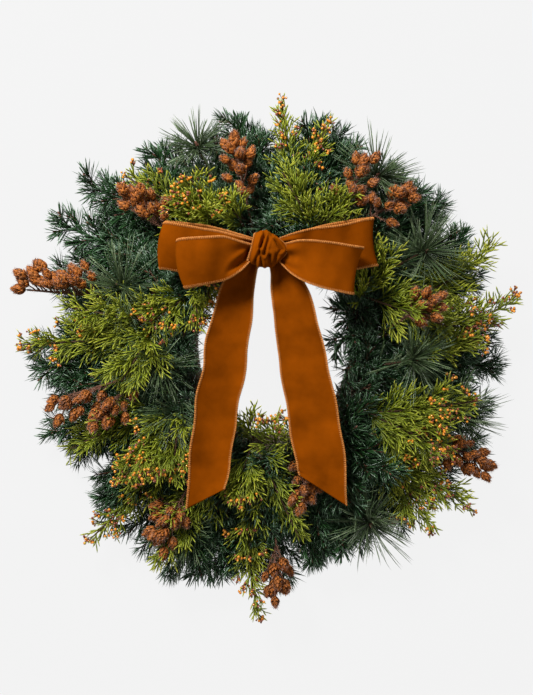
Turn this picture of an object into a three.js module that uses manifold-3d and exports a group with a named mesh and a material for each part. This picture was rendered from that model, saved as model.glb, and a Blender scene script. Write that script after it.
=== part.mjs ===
// A fresh evergreen wreath with a velvet ribbon bow, lying on its back.
// Millimetres, +Z up. X runs right and Y up over the wreath's face, and Z comes out of the face.
// A flat wound ring carries sprays of fir, pine, cedar with small berries, and papery cones.
// A wire from the ring carries the bow: a knot, four loops and two tails.
import * as THREE from "three";
import { mergeVertices } from "three/addons/utils/BufferGeometryUtils.js";
import Module from "manifold-3d";

const wasm = await Module();
wasm.setup();

// ---- Driving dimensions ----
const RING = {
  inner: 116, outer: 160, height: 36, edge: 9, segments: 28,
  oval: [0.914, 1.086], centre: [8, 9], // the ring is a little taller than wide
};
const RIBBON = { width: 70, thickness: 1.2, full: 32 }; // full is half of its width where it cups
const KNOT = { centre: [-3, 135, 130], size: [25, 25, 21], folds: 4, foldDepth: 0.14, barrel: 0.62 };
const WIRE = { radius: 1.6, foot: [-3, 158], head: [-3, 139] };
const GAP = 0.5; // left between neighbours that touch
const FLOOR = 2; // nothing but the ring comes lower than this
const HOLE = { x: [-90, 84], y: [-84, 122], top: 96 }; // foliage stays out of this much of the hole

// Where a stem leaves the ring: distance from the ring's centre, height, and how far its middle rises.
const LAYERS = {
  back: { radius: RING.outer + 4.2, height: 20, rise: 6 },
  front: { radius: RING.outer - 8, height: RING.height + 3.6, rise: 4 },
  top: { radius: (RING.inner + RING.outer) / 2, height: RING.height + 4.2, rise: 14 },
};

// Needles stand in whorls round a stem, and each is drawn out of one of the stem's facets.
const FIR = {
  radius: 2.6, whorls: 7, start: 0.14, band: 2.2, needle: 24, lean: [58, 40],
  twigs: 3, twigWhorls: 3, twigRadius: 1.7, twigStart: 0.24, twigLength: [66, 40], twigLean: 46,
};
const PINE = { radius: 2.6, whorls: 11, start: 0.5, band: 1.8, needle: 64, lean: [80, 20] };
const CEDAR = {
  core: 1.5, thick: 1.3, branches: 5, start: 0.16, branch: [58, 30], branchLean: 38,
  leaf: 20, leafLean: 40, droop: 0.003, berry: 2.4,
};
const CONE = {
  radius: 2.0, whorls: 3, start: 0.3, band: 3, stalk: 24, lean: [56, 44],
  bodyAt: 12, length: 18, width: 6.6, cones: 6,
};

// Each spray: name, kind, layer, the ring's angle at its root, and the tip of each arm.
const SPRAYS = [
  ["fir_spray_01", "fir", "back", 22, [[280, 153, 32]]],
  ["fir_spray_02", "fir", "back", 42, [[210, 223, 45]]],
  ["fir_spray_03", "fir", "back", 70, [[116, 286, 35], [58, 311, 30]]],
  ["fir_spray_04", "fir", "back", 96, [[-45, 325, 40]]],
  ["fir_spray_05", "fir", "back", 128, [[-257, 237, 45], [-157, 282, 30]]],
  ["fir_spray_06", "fir", "back", 149, [[-300, 182, 38]]],
  ["fir_spray_07", "fir", "back", 184, [[-327, -28, 28]]],
  ["fir_spray_08", "fir", "back", 200, [[-315, -123, 26]]],
  ["fir_spray_09", "fir", "back", 219, [[-234, -224, 30]]],
  ["fir_spray_10", "fir", "back", 252, [[-94, -316, 30]]],
  ["fir_spray_11", "fir", "back", 283, [[71, -291, 34], [113, -272, 38]]],
  ["fir_spray_12", "fir", "back", 352, [[270, -50, 38]]],
  ["fir_spray_13", "fir", "top", 8, [[98, 66, 66], [94, 0, 62]]],
  ["fir_spray_14", "fir", "top", 306, [[172, -176, 80], [107, -214, 72], [112, -76, 62]]],
  ["pine_spray_01", "pine", "back", 57, [[152, 243, 60]]],
  ["pine_spray_02", "pine", "back", 110, [[-99, 285, 62]]],
  ["pine_spray_03", "pine", "top", 30, [[217, 137, 84]]],
  ["pine_spray_04", "pine", "top", 183, [[-152, -20, 66]]],
  ["pine_spray_05", "pine", "top", 166, [[-206, 90, 60]]],
  ["pine_spray_06", "pine", "top", 346, [[205, -12, 72]]],
  ["pine_spray_07", "pine", "back", 302, [[142, -243, 58]]],
  ["pine_spray_08", "pine", "back", 337, [[266, -94, 42]]],
  ["pine_spray_09", "pine", "top", 199, [[-130, -88, 66]]],
  ["pine_spray_10", "pine", "back", 238, [[-113, -259, 28]]],
  ["cedar_spray_01", "berried cedar", "front", 10, [[348, 76, 58]]],
  ["cedar_spray_02", "cedar", "front", 22, [[316, 158, 62]]],
  ["cedar_spray_03", "cedar", "top", 18, [[154, 143, 98], [252, 31, 88]]],
  ["cedar_spray_04", "berried cedar", "front", 84, [[85, 318, 60], [19, 345, 54]]],
  ["cedar_spray_05", "cedar", "top", 70, [[112, 215, 92], [20, 246, 84]]],
  ["cedar_spray_06", "berried cedar", "top", 112, [[-198, 241, 80], [-104, 232, 92]]],
  ["cedar_spray_07", "cedar", "top", 172, [[-280, 60, 84], [-203, -44, 88]]],
  ["cedar_spray_08", "berried cedar", "front", 176, [[-346, 7, 54]]],
  ["cedar_spray_09", "cedar", "front", 205, [[-280, -140, 58]]],
  ["cedar_spray_10", "berried cedar", "top", 211, [[-203, -180, 84], [-133, -176, 88]]],
  ["cedar_spray_11", "berried cedar", "front", 226, [[-252, -268, 40]]],
  ["cedar_spray_12", "cedar", "front", 244, [[-157, -298, 70]]],
  ["cedar_spray_13", "berried cedar", "front", 264, [[-12, -376, 46]]],
  ["cedar_spray_14", "cedar", "top", 258, [[-26, -92, 74], [-52, -207, 78], [44, -262, 72]]],
  ["cedar_spray_15", "berried cedar", "front", 318, [[287, -224, 52], [228, -249, 46]]],
  ["cedar_spray_16", "berried cedar", "top", 326, [[250, -140, 84], [283, -72, 72]]],
  ["cedar_spray_17", "berried cedar", "top", 150, [[-158, 40, 78]]],
  ["cone_spray_01", "cone", "front", 160, [[-338, 84, 66]]],
  ["cone_spray_02", "cone", "front", 190, [[-290, -67, 78], [-232, -82, 82]]],
  ["cone_spray_03", "cone", "front", 274, [[7, -326, 62]]],
  ["cone_spray_04", "cone", "front", 333, [[296, -158, 60]]],
  ["cone_spray_05", "cone", "top", 129, [[-192, 196, 84]]],
  ["cone_spray_06", "cone", "top", 102, [[-45, 280, 90]]],
  ["cone_spray_07", "cone", "top", 52, [[128, 252, 96], [190, 214, 96]]],
  ["cone_spray_08", "cone", "top", 0, [[222, 66, 104]]],
  ["cone_spray_09", "cone", "top", 235, [[-150, -258, 80]]],
  ["cone_spray_10", "cone", "top", 290, [[50, -200, 78]]],
];

// A ribbon's centre line, and half its width there as a vector: [x, y, z, wx, wy, wz].
const BOW = {
  bow_loop_left_front: [
    [-18, 135, 136, 0, 7, 1],
    [-37, 128, 147, 0, 18, 2],
    [-60, 124, 156, -1, 28, 5],
    [-92, 119, 160, -3, 31, 7],
    [-112, 117, 156, -4.5, 32, 6],
    [-120.5, 116, 146, -4.5, 32, 6],
    [-112, 117, 135, -4.5, 32, 6],
    [-70, 124, 128, -2, 27, 3],
    [-18, 134, 128, 0, 8, 0],
  ],
  bow_loop_left_back: [
    [-18, 141, 121, 1, 8, 1],
    [-40, 137, 122, 0, 18, 2],
    [-66, 135, 121, 0, 26, 2],
    [-110, 137, 119, 1, 31.5, 0],
    [-139, 142, 115, 2, 31.5, 0],
    [-148, 143, 107, 2, 31.5, 0],
    [-139, 145, 98, 2, 31.5, 0],
    [-80, 142, 98, 0, 28, -1],
    [-18, 143, 115, 0, 9, 0],
  ],
  bow_loop_right_front: [
    [12, 133, 136, 0, 9, 1],
    [27, 127, 147, 1, 18, 2],
    [46, 122, 156, 2, 26, 5],
    [76, 115.5, 160, 4, 30, 6],
    [108, 109.5, 156, 6.5, 31, 5],
    [120, 107.5, 146, 6.5, 31, 5],
    [108, 109.5, 135, 6.5, 31, 5],
    [60, 119, 128, 3, 27, 3],
    [12, 133, 128, 0, 9, 0],
  ],
  bow_loop_right_back: [
    [12, 142, 121, 0, 9, 1],
    [32, 141, 122, -1, 17, 2],
    [60, 137, 122, -2, 28, 2],
    [100, 139, 120, -3, 31, 0],
    [134, 146, 115, -3.5, 32, 0],
    [144.5, 148, 107, -3.5, 32, 0],
    [134, 149, 98, -3.5, 32, 0],
    [76, 143, 98, -2, 28, -1],
    [12, 142, 115, 0, 9, 0],
  ],
  bow_tail_left: [
    [-15, 130, 118, 9, 0, 1],
    [-30, 106, 112, 18, -2, 7],
    [-44, 78, 109, 24, -3, 8],
    [-56, 14, 106, 28.3, -3.7, 6],
    [-62, -31, 105, 28.5, -3.7, -3],
    [-70, -69, 105, 28.5, -3.7, -6],
    [-75, -110, 104, 28, -3, 2],
    [-81, -160, 105, 27.5, -1, 5],
    [-85, -204, 106, 26, 13.7, 4],
  ],
  bow_tail_right: [
    [5, 130, 118, 9, 1, 1],
    [19, 108, 112, 17, 3, 6],
    [29, 80, 109, 25, 4.3, 8],
    [40, 34, 106, 28.4, 4.9, 8],
    [45, -5, 105, 32.4, 5.6, 4],
    [52, -45, 105, 34, 5.9, -2],
    [61, -92, 104, 34.4, 5.9, 0],
    [71, -145, 105, 33.4, 3, 3],
    [76, -193, 106, 32.2, -20.6, 2],
  ],
};

const COLOURS = {
  wound_ring: 0x4a3a2c,
  tie_wire: 0x3c4038,
  ribbon: 0xa0510c,
  fir: 0x1f4a30,
  pine: 0x33552f,
  cedar: 0x7f9430,
  cone: 0xa3541d,
};

// ---- Solids and vectors ----
const V = (x, y, z) => new THREE.Vector3(x, y, z);
const UP = V(0, 0, 1);
const WELD = 1e-4;
const FINE = 0.1; // slivers finer than this are smoothed out of a union
const TURN = 2 * Math.PI;
const degrees = THREE.MathUtils.degToRad;
const mix = THREE.MathUtils.lerp;

/** A closed geometry as a solid. */
function solidOf(geometry) {
  const bare = geometry.index ? geometry.toNonIndexed() : geometry.clone();
  bare.deleteAttribute("normal");
  bare.deleteAttribute("uv");
  const welded = mergeVertices(bare, WELD);
  const corners = [];
  for (let i = 0; i < welded.index.count; i += 3) {
    const [a, b, c] = [0, 1, 2].map((k) => welded.index.getX(i + k));
    if (a !== b && b !== c && c !== a) corners.push(a, b, c);
  }
  return new wasm.Manifold(
    new wasm.Mesh({
      numProp: 3,
      vertProperties: new Float32Array(welded.attributes.position.array),
      triVerts: new Uint32Array(corners),
    }),
  );
}

/** A solid as a geometry, without any loose scrap that a cut has left. */
function geometryOf(solid) {
  const bodies = solid.simplify(FINE).decompose().sort((a, b) => b.volume() - a.volume());
  const mesh = bodies[0].getMesh();
  const geometry = new THREE.BufferGeometry();
  geometry.setAttribute("position", new THREE.BufferAttribute(mesh.vertProperties, 3));
  geometry.setIndex(new THREE.BufferAttribute(mesh.triVerts, 1));
  geometry.computeVertexNormals();
  return geometry;
}

/** Turns a geometry made along +Y so that it runs along way, and moves its start to from. */
function aim(geometry, from, way) {
  const turn = new THREE.Quaternion().setFromUnitVectors(V(0, 1, 0), way.clone().normalize());
  return geometry.applyQuaternion(turn).translate(from.x, from.y, from.z);
}

/** An even tube along a curve. */
function tube(curve, radius, sides, steps) {
  const section = new THREE.Shape();
  for (let i = 0; i < sides; i++) {
    const a = (i / sides) * TURN;
    section[i ? "lineTo" : "moveTo"](radius * Math.cos(a), radius * Math.sin(a));
  }
  const options = { extrudePath: curve, steps, bevelEnabled: false };
  return solidOf(new THREE.ExtrudeGeometry(section, options));
}

// ---- What stands where, as capsules, so that neighbours keep clear ----
const standing = []; // { from, to, radius, owner }

/** The least distance between two segments. */
function apart(a, b) {
  const p = a.to.clone().sub(a.from);
  const q = b.to.clone().sub(b.from);
  const r = a.from.clone().sub(b.from);
  const [pp, qq, pq] = [p.dot(p), q.dot(q), p.dot(q)];
  const [pr, qr] = [p.dot(r), q.dot(r)];
  const clamp = (x) => Math.min(1, Math.max(0, x));
  const cross = pp * qq - pq * pq;
  let s = cross > 1e-6 ? clamp((pq * qr - pr * qq) / cross) : 0;
  const t = qq > 1e-6 ? clamp((pq * s + qr) / qq) : 0;
  s = pp > 1e-6 ? clamp((pq * t - pr) / pp) : 0;
  return r.addScaledVector(p, s).addScaledVector(q, -t).length();
}

/** The point over the ring at a distance from its centre, before it is made oval, and an angle. */
function overRing(radius, angle, z) {
  const [kx, ky] = RING.oval;
  const [x, y] = RING.centre;
  const a = degrees(angle);
  return V(x + kx * radius * Math.cos(a), y + ky * radius * Math.sin(a), z);
}

/** How far a point is from the ring's outer walls at the least, less than 0 inside. */
function ringGap(p) {
  const [kx, ky] = RING.oval;
  const [x, y] = RING.centre;
  const middle = (RING.inner + RING.outer) / 2;
  const far = Math.hypot((p.x - x) / kx, (p.y - y) / ky);
  const across = (Math.abs(far - middle) - (RING.outer - RING.inner) / 2) * Math.min(kx, ky);
  const above = Math.abs(p.z - RING.height / 2) - RING.height / 2;
  return Math.max(across, above);
}

function inHole(p, margin) {
  const within = (v, [low, high]) => v > low - margin && v < high + margin;
  return within(p.x, HOLE.x) && within(p.y, HOLE.y) && p.z < HOLE.top + margin;
}

/** Who a capsule would touch, or nothing if it is clear. */
function whoTouches(part) {
  const length = part.from.distanceTo(part.to);
  for (let along = 0; along <= length; along += 3) {
    const p = part.from.clone().lerp(part.to, length ? along / length : 0);
    if (ringGap(p) < part.radius + GAP) return "ring";
    if (inHole(p, part.radius + 1)) return "hole";
  }
  if (Math.min(part.from.z, part.to.z) - part.radius < FLOOR) return "floor";
  const near = standing.find((other) => {
    const own = other.owner === part.owner;
    if (own && !(part.branch && other.branch && part.branch !== other.branch)) return false;
    return apart(part, other) < part.radius + other.radius + (own ? 0 : GAP);
  });
  return near && near.owner;
}

function stand(part) {
  standing.push(part);
  return part;
}

// ---- The ring ----
function woundRing() {
  const { inner, outer, height, edge, segments, oval, centre } = RING;
  const profile = [
    [inner + edge, 0],
    [outer - edge, 0],
    [outer, edge],
    [outer, height - edge],
    [outer - edge, height],
    [inner + edge, height],
    [inner, height - edge],
    [inner, edge],
    [inner + edge, 0],
  ].map(([r, z]) => new THREE.Vector2(r, z));
  const halfStep = Math.PI / segments;
  const round = new THREE.LatheGeometry(profile, segments, halfStep).rotateX(Math.PI / 2);
  return round.scale(...oval, 1).translate(...centre, 0);
}

// ---- The bow ----
/** The knot: a plump wrap of ribbon, gathered into folds that run up and down its face. */
function knotGeometry(grow = 0) {
  const { size, folds, foldDepth, barrel, centre } = KNOT;
  const ball = new THREE.SphereGeometry(1, 4 * folds, 7);
  const at = ball.attributes.position;
  for (let i = 0; i < at.count; i++) {
    const p = V(0, 0, 0).fromBufferAttribute(at, i);
    const round = Math.hypot(p.x, p.z);
    const angle = Math.atan2(p.z, p.x);
    const fold = 1 - foldDepth * round * (1 - Math.cos(2 * folds * angle)) / 2;
    const full = round > 0.01 ? fold * round ** (barrel - 1) : 1;
    const [x, y, z] = size.map((half) => half + grow);
    at.setXYZ(i, p.x * x * full, p.y * y, p.z * z * full);
  }
  return ball.translate(...centre);
}

/** A band of ribbon through its stations: the middle of its face, half its width, and its normal. */
function bandPoint(stations, u) {
  const at = u * (stations.length - 1);
  const i = Math.min(stations.length - 2, Math.floor(at));
  const row = (k) => stations[Math.min(stations.length - 1, Math.max(0, k))];
  const blend = stations[0].map((_, n) => {
    const [a, b, c, d] = [row(i - 1)[n], row(i)[n], row(i + 1)[n], row(i + 2)[n]];
    const t = at - i;
    const bend = (-a + 3 * b - 3 * c + d) * t + (2 * a - 5 * b + 4 * c - d);
    return 0.5 * ((bend * t + (c - a)) * t + 2 * b);
  });
  return { centre: V(...blend.slice(0, 3)), half: V(...blend.slice(3)) };
}

function ribbonBand(stations, steps) {
  const across = [-1, 1];
  const faces = [1, -1].map((side) =>
    Array.from({ length: steps + 1 }, (_, i) => {
      const u = i / steps;
      const { centre, half } = bandPoint(stations, u);
      const ahead = bandPoint(stations, Math.min(1, u + 0.01)).centre;
      const behind = bandPoint(stations, Math.max(0, u - 0.01)).centre;
      const normal = half.clone().cross(ahead.sub(behind)).normalize();
      return across.map((t) =>
        centre
          .clone()
          .addScaledVector(half, t)
          .addScaledVector(normal, (side * RIBBON.thickness) / 2),
      );
    }),
  );
  const points = faces.flat(2);
  const wide = across.length;
  const id = (face, i, j) => face * (steps + 1) * wide + i * wide + j;
  const corners = [];
  const quad = (a, b, c, d) => corners.push(a, b, c, a, c, d);
  for (let i = 0; i < steps; i++) {
    for (let j = 0; j + 1 < wide; j++) {
      quad(id(0, i, j), id(0, i, j + 1), id(0, i + 1, j + 1), id(0, i + 1, j));
      quad(id(1, i, j), id(1, i + 1, j), id(1, i + 1, j + 1), id(1, i, j + 1));
    }
    quad(id(0, i, 0), id(0, i + 1, 0), id(1, i + 1, 0), id(1, i, 0));
    quad(id(0, i, wide - 1), id(1, i, wide - 1), id(1, i + 1, wide - 1), id(0, i + 1, wide - 1));
  }
  for (let j = 0; j + 1 < wide; j++) {
    quad(id(0, 0, j), id(1, 0, j), id(1, 0, j + 1), id(0, 0, j + 1));
    quad(id(0, steps, j), id(0, steps, j + 1), id(1, steps, j + 1), id(1, steps, j));
  }
  const geometry = new THREE.BufferGeometry().setFromPoints(points);
  return geometry.setIndex(corners);
}

/** Balls over a band, so that foliage keeps off it. */
function standBand(name, stations) {
  const pitch = 6;
  const length = stations.slice(1).reduce((sum, s, i) => {
    const before = stations[i];
    return sum + Math.hypot(s[0] - before[0], s[1] - before[1], s[2] - before[2]);
  }, 0);
  const rows = Math.ceil(length / pitch);
  for (let i = 0; i <= rows; i++) {
    const { centre, half } = bandPoint(stations, i / rows);
    const from = centre.clone().sub(half);
    stand({ from, to: centre.clone().add(half), radius: pitch / 2, owner: name });
  }
}

// ---- The sprays ----
/** An arm's stem as capsules. The first of them is in the ring's or the other arm's reach. */
function capsulesAlong(curve, radius, owner) {
  const pieces = 10;
  const points = Array.from({ length: pieces + 1 }, (_, i) => curve.getPointAt(i / pieces));
  return points.slice(1).map((to, i) => ({ from: points[i], to, radius, owner }));
}

/** A stem from one point to another, lifted or lowered until it is clear of all that stands. */
function clearStem(from, tip, rise, radius, owner) {
  for (const lift of [0, 5, -5, 10, -10, 15, 20, 25, 30]) {
    const to = tip.clone().setZ(tip.z + lift);
    const middle = from.clone().lerp(to, 0.5);
    middle.z += rise + lift;
    const curve = new THREE.QuadraticBezierCurve3(from, middle, to);
    const parts = capsulesAlong(curve, radius, owner);
    if (!parts.some(whoTouches)) {
      parts.forEach(stand);
      return curve;
    }
  }
  throw new Error(`${owner} finds no clear way for a stem`);
}

/** A spray's arms: its main stem, and a stem that forks from it for each further tip. */
function armsOf([name, kind, layerName, angle, tips]) {
  const layer = LAYERS[layerName];
  const root = overRing(layer.radius, angle, layer.height);
  const radius = { fir: FIR.radius, pine: PINE.radius }[kind] ?? CONE.radius;
  const arms = [];
  for (const tip of tips.map((t) => V(...t))) {
    const from = arms.length ? arms[0].curve.getPoint(0.22) : root;
    const curve = clearStem(from, tip, layer.rise, radius, name);
    arms.push({ name, kind, curve, share: 1 / tips.length, length: curve.getLength() });
  }
  return arms;
}

/** Two directions square to way: one to the side and one above it. */
function squareTo(way) {
  const side = way.clone().cross(UP);
  if (side.lengthSq() < 0.02) side.copy(way).cross(V(0, 1, 0));
  side.normalize();
  return { side, above: way.clone().cross(side) };
}

/** The direction that leans off way by so many degrees towards out, which is square to it. */
function leaning(way, lean, out) {
  const a = degrees(lean);
  return way.clone().multiplyScalar(Math.cos(a)).addScaledVector(out, Math.sin(a));
}

/** A stem with whorls. reach says where a whorl's needle ends, or gives null to leave its facet flat. */
function whorledStem({ curve, radius, whorls, band, reach }) {
  const sides = 3;
  const length = curve.getLength();
  const half = band / 2 / length;
  const rings = [{ t: 0 }];
  whorls.forEach((t, n) => rings.push({ t: t - half, n, opens: true }, { t: t + half, n }));
  rings.push({ t: Math.min(1, rings.at(-1).t + 0.5 * half), n: whorls.length - 1 });
  const points = [];
  const centres = [];
  for (const { t, n = 0 } of rings) {
    const [centre, way] = [curve.getPointAt(t), curve.getTangentAt(t)];
    const { side, above } = squareTo(way);
    const size = radius * mix(1, 0.6, t);
    for (let k = 0; k < sides; k++) {
      const a = degrees(50) * n + (k / sides) * TURN;
      const out = side.clone().multiplyScalar(Math.cos(a)).addScaledVector(above, Math.sin(a));
      points.push(centre.clone().addScaledVector(out, size));
    }
    centres.push({ centre, way });
  }
  const corners = [];
  const id = (ring, k) => ring * sides + (k % sides);
  rings.slice(0, -1).forEach((ring, i) => {
    for (let k = 0; k < sides; k++) {
      const quad = [id(i, k), id(i, k + 1), id(i + 1, k + 1), id(i + 1, k)];
      const [a, b, c, d] = quad;
      const middle = V(0, 0, 0);
      for (const q of quad) middle.addScaledVector(points[q], 0.25);
      const out = middle.clone().sub(centres[i].centre).projectOnPlane(centres[i].way).normalize();
      const tip = ring.opens ? reach(middle, centres[i].way, out, ring) : null;
      if (tip) {
        const peak = points.push(tip) - 1;
        corners.push(a, b, peak, b, c, peak, c, d, peak, d, a, peak);
      } else corners.push(a, b, c, a, c, d);
    }
  });
  const last = rings.length - 1;
  const { centre, way } = centres[last];
  const peak = points.push(centre.clone().addScaledVector(way, 2 * radius)) - 1;
  corners.push(id(0, 0), id(0, 2), id(0, 1));
  for (let k = 0; k < sides; k++) corners.push(id(last, k), id(last, k + 1), peak);
  return solidOf(new THREE.BufferGeometry().setFromPoints(points).setIndex(corners));
}

const spread = (count, start, end) =>
  Array.from({ length: count }, (_, i) => mix(start, end, count > 1 ? i / (count - 1) : 1));

/** Where a needle can reach: at its own lean, at others, and then shorter, until it is clear. */
function needleReach(owner, branch, { needle, lean, start }, radius) {
  return (from, way, out, ring) => {
    const own = mix(lean[0], lean[1], (ring.t - start) / (1 - start));
    const ways = [[1, 0], [1, 16], [1, -16], [0.72, 0], [0.72, 20]];
    for (const [size, more] of ways) {
      const toward = leaning(way, own + more, out);
      const to = from.clone().addScaledVector(toward, needle * size);
      const part = { from, to, radius, owner, branch };
      const free = { ...part, from: from.clone().addScaledVector(toward, 3) };
      if (!whoTouches(free)) return stand(part).to;
    }
    return null;
  };
}

const kinds = {
  fir(spray, arm) {
    const { name, curve, share } = arm;
    const owned = (branch) => needleReach(name, branch, FIR, 1.2);
    const count = Math.max(1, Math.round(FIR.twigs * share));
    const twigs = [];
    for (const [i, t] of spread(count, FIR.twigStart, 0.74).entries()) {
      const [from, way] = [curve.getPointAt(t), curve.getTangentAt(t)];
      const { side } = squareTo(way);
      const length = mix(...FIR.twigLength, i / count);
      const sign = (i + spray.turn) % 2 ? -1 : 1;
      for (const lean of [FIR.twigLean, FIR.twigLean - 14, FIR.twigLean + 14]) {
        const out = leaning(way, lean, side.clone().multiplyScalar(sign));
        const to = from.clone().addScaledVector(out, length);
        const twig = { from, to, radius: FIR.twigRadius, owner: name, branch: `twig ${name} ${t}` };
        if (whoTouches({ ...twig, from: from.clone().lerp(to, 0.15) })) continue;
        twigs.push(stand(twig));
        break;
      }
    }
    const whorls = spread(Math.round(FIR.whorls * share + 1), FIR.start, 0.96);
    const stem = { curve, radius: FIR.radius, band: FIR.band, whorls, reach: owned("stem") };
    spray.solids.push(whorledStem(stem));
    for (const { from, to, branch } of twigs) {
      const line = new THREE.LineCurve3(from, to);
      const own = { curve: line, radius: FIR.twigRadius, band: FIR.band, reach: owned(branch) };
      spray.solids.push(whorledStem({ ...own, whorls: spread(FIR.twigWhorls, 0.4, 0.94) }));
    }
  },

  pine(spray, { name, curve }) {
    const reach = needleReach(name, "stem", PINE, 1.5);
    const room = ((1 - PINE.start) * curve.getLength()) / (1.4 * PINE.band);
    const last = 1 - PINE.band / curve.getLength();
    const whorls = spread(Math.min(PINE.whorls, Math.floor(room)), PINE.start, Math.min(0.97, last));
    spray.solids.push(whorledStem({ curve, radius: PINE.radius, band: PINE.band, whorls, reach }));
  },

  cedar(spray, arm) {
    const { name, curve, length, share } = arm;
    const count = Math.max(2, Math.round(CEDAR.branches * Math.sqrt(share) * 0.85));
    const branches = [];
    for (const [i, t] of spread(count, CEDAR.start, 0.86).entries()) {
      const sign = (i + spray.turn) % 2 ? -1 : 1;
      const longest = mix(...CEDAR.branch, i / (count - 1));
      for (const size of [1, 0.75, 0.55]) {
        const branch = { at: t * length, sign, length: longest * size };
        const parts = capsulesOf(arm, branch);
        if (parts.some(whoTouches)) continue;
        parts.forEach(stand);
        branches.push(branch);
        break;
      }
    }
    spray.solids.push(frondSolid(arm, branches));
    if (!arm.kind.includes("berried")) return;
    const ends = branches.filter((_, i) => i % 2 === 0).map((b) => onFrond(arm, ...endOf(b)));
    for (const end of [...ends, onFrond(arm, length + 4, 0)]) {
      const berry = { from: end, to: end, radius: CEDAR.berry, owner: name };
      if (whoTouches(berry)) continue;
      stand(berry);
      const ball = new THREE.OctahedronGeometry(CEDAR.berry);
      spray.solids.push(solidOf(ball.translate(end.x, end.y, end.z)));
    }
  },

  cone(spray, { name, curve, share }) {
    const cones = [];
    const most = Math.round(CONE.cones * share);
    const place = (from, out, at) => {
      const base = from.clone().addScaledVector(out, at);
      const to = base.clone().addScaledVector(out, CONE.length);
      const body = { from: base, to, radius: CONE.width, owner: name };
      const crowded = spray.cones.some((other) => apart(body, other) < 2 * CONE.width);
      if (crowded || whoTouches(body)) return false;
      cones.push(stand(body));
      spray.cones.push(body);
      return true;
    };
    place(curve.getPointAt(1), curve.getTangentAt(1), -1);
    const reach = (from, way, out, ring) => {
      if (cones.length >= most) return null;
      const own = mix(...CONE.lean, ring.t);
      for (const more of [0, 14, -14, 26]) {
        const toward = leaning(way, own + more, out);
        if (place(from, toward, CONE.bodyAt)) return from.clone().addScaledVector(toward, CONE.stalk);
      }
      return null;
    };
    const whorls = spread(CONE.whorls, CONE.start, 0.88);
    spray.solids.push(whorledStem({ curve, radius: CONE.radius, band: CONE.band, whorls, reach }));
    spray.solids.push(...cones.map(coneSolid));
  },
};

// ---- A cedar frond: one flat toothed blade, bent along its arm ----
/** The point on a frond that is so far along its arm and so far to its side. */
function onFrond({ curve, length }, along, across) {
  const t = Math.min(1, Math.max(0, along / length));
  const way = curve.getTangentAt(t);
  const { side } = squareTo(way);
  const p = curve.getPointAt(t).addScaledVector(way, along - t * length);
  p.z -= CEDAR.droop * across * across;
  return p.addScaledVector(side, across);
}

/** A point on a branchlet: so far out on it, and then so far on along a leaf that leans off it. */
function onBranch({ at, sign }, out, leaf = 0, lean = 0) {
  const a = degrees(CEDAR.branchLean);
  const b = degrees(CEDAR.branchLean + lean);
  const along = at + out * Math.cos(a) + leaf * Math.cos(b);
  return [along, sign * (out * Math.sin(a) + leaf * Math.sin(b))];
}

const endOf = (branch) => onBranch(branch, branch.length);
const LEAF_AT = [0.3, 0.64];

function capsulesOf(arm, branch) {
  const owner = arm.name;
  const capsule = (from, to) => ({ from, to, radius: CEDAR.core + 0.5, owner, branch: `${branch.at}` });
  const at = (...args) => onFrond(arm, ...onBranch(branch, ...args));
  const parts = [capsule(at(3), at(branch.length / 2)), capsule(at(branch.length / 2), at(branch.length))];
  for (const t of LEAF_AT) {
    const out = t * branch.length;
    for (const lean of [CEDAR.leafLean, -CEDAR.leafLean]) {
      parts.push(capsule(at(out), at(out, CEDAR.leaf, lean)));
    }
  }
  for (const lean of [CEDAR.leafLean, -CEDAR.leafLean]) {
    parts.push(capsule(at(4), at(LEAF_AT[0] * branch.length, CEDAR.leaf, lean)));
  }
  return parts;
}

function frondSolid(arm, branches) {
  const { core, leaf, leafLean, thick } = CEDAR;
  const edge = (sign) => {
    const own = branches.filter((b) => b.sign === sign).sort((a, b) => a.at - b.at);
    const points = [[0, sign * core]];
    for (const branch of own) {
      points.push([branch.at - 2, sign * core]);
      for (const t of LEAF_AT) {
        points.push(onBranch(branch, t * branch.length, leaf, leafLean));
        points.push(onBranch(branch, t * branch.length + 5, 1, 60));
      }
      points.push(endOf(branch));
      for (const t of [...LEAF_AT].reverse()) {
        points.push(onBranch(branch, t * branch.length + 5, 1, -60));
        points.push(onBranch(branch, t * branch.length, leaf, -leafLean));
      }
      points.push([branch.at + 4, sign * core]);
    }
    return points;
  };
  const outline = [...edge(-1), [arm.length + 5, 0], ...edge(1).reverse()];
  const flat = outline.map(([x, y]) => new THREE.Vector2(x, y));
  if (THREE.ShapeUtils.isClockWise(flat)) [outline, flat].forEach((list) => list.reverse());
  const faces = THREE.ShapeUtils.triangulateShape(flat, []);
  const points = [];
  for (const lift of [thick / 2, -thick / 2]) {
    for (const [x, y] of outline) points.push(onFrond(arm, x, y).addScaledVector(UP, lift));
  }
  const n = outline.length;
  const corners = [];
  for (const [a, b, c] of faces) corners.push(a, c, b, n + a, n + b, n + c);
  for (let i = 0; i < n; i++) {
    const j = (i + 1) % n;
    corners.push(i, j, n + j, i, n + j, n + i);
  }
  return solidOf(new THREE.BufferGeometry().setFromPoints(points).setIndex(corners));
}

/** A papery cone: tiers of scales that step out and in. */
function coneSolid({ from, to }) {
  const tiers = [
    [0, 0],
    [1, 0.3],
    [0.64, 0.42],
    [0.86, 0.6],
    [0, 1],
  ].map(([r, z]) => new THREE.Vector2(r * CONE.width, z * CONE.length));
  const lathe = new THREE.LatheGeometry(tiers, 5);
  return solidOf(aim(lathe, from, to.clone().sub(from)));
}

// ---- The whole wreath ----
const wreath = new THREE.Group();

function add(name, geometry, colour, roughness = 0.8) {
  const material = new THREE.MeshStandardMaterial({ color: colour, roughness, metalness: 0 });
  const mesh = new THREE.Mesh(geometry, material);
  mesh.name = name;
  wreath.add(mesh);
}

function makeRing() {
  add("wound_ring", woundRing(), COLOURS.wound_ring, 0.9);
}

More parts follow.
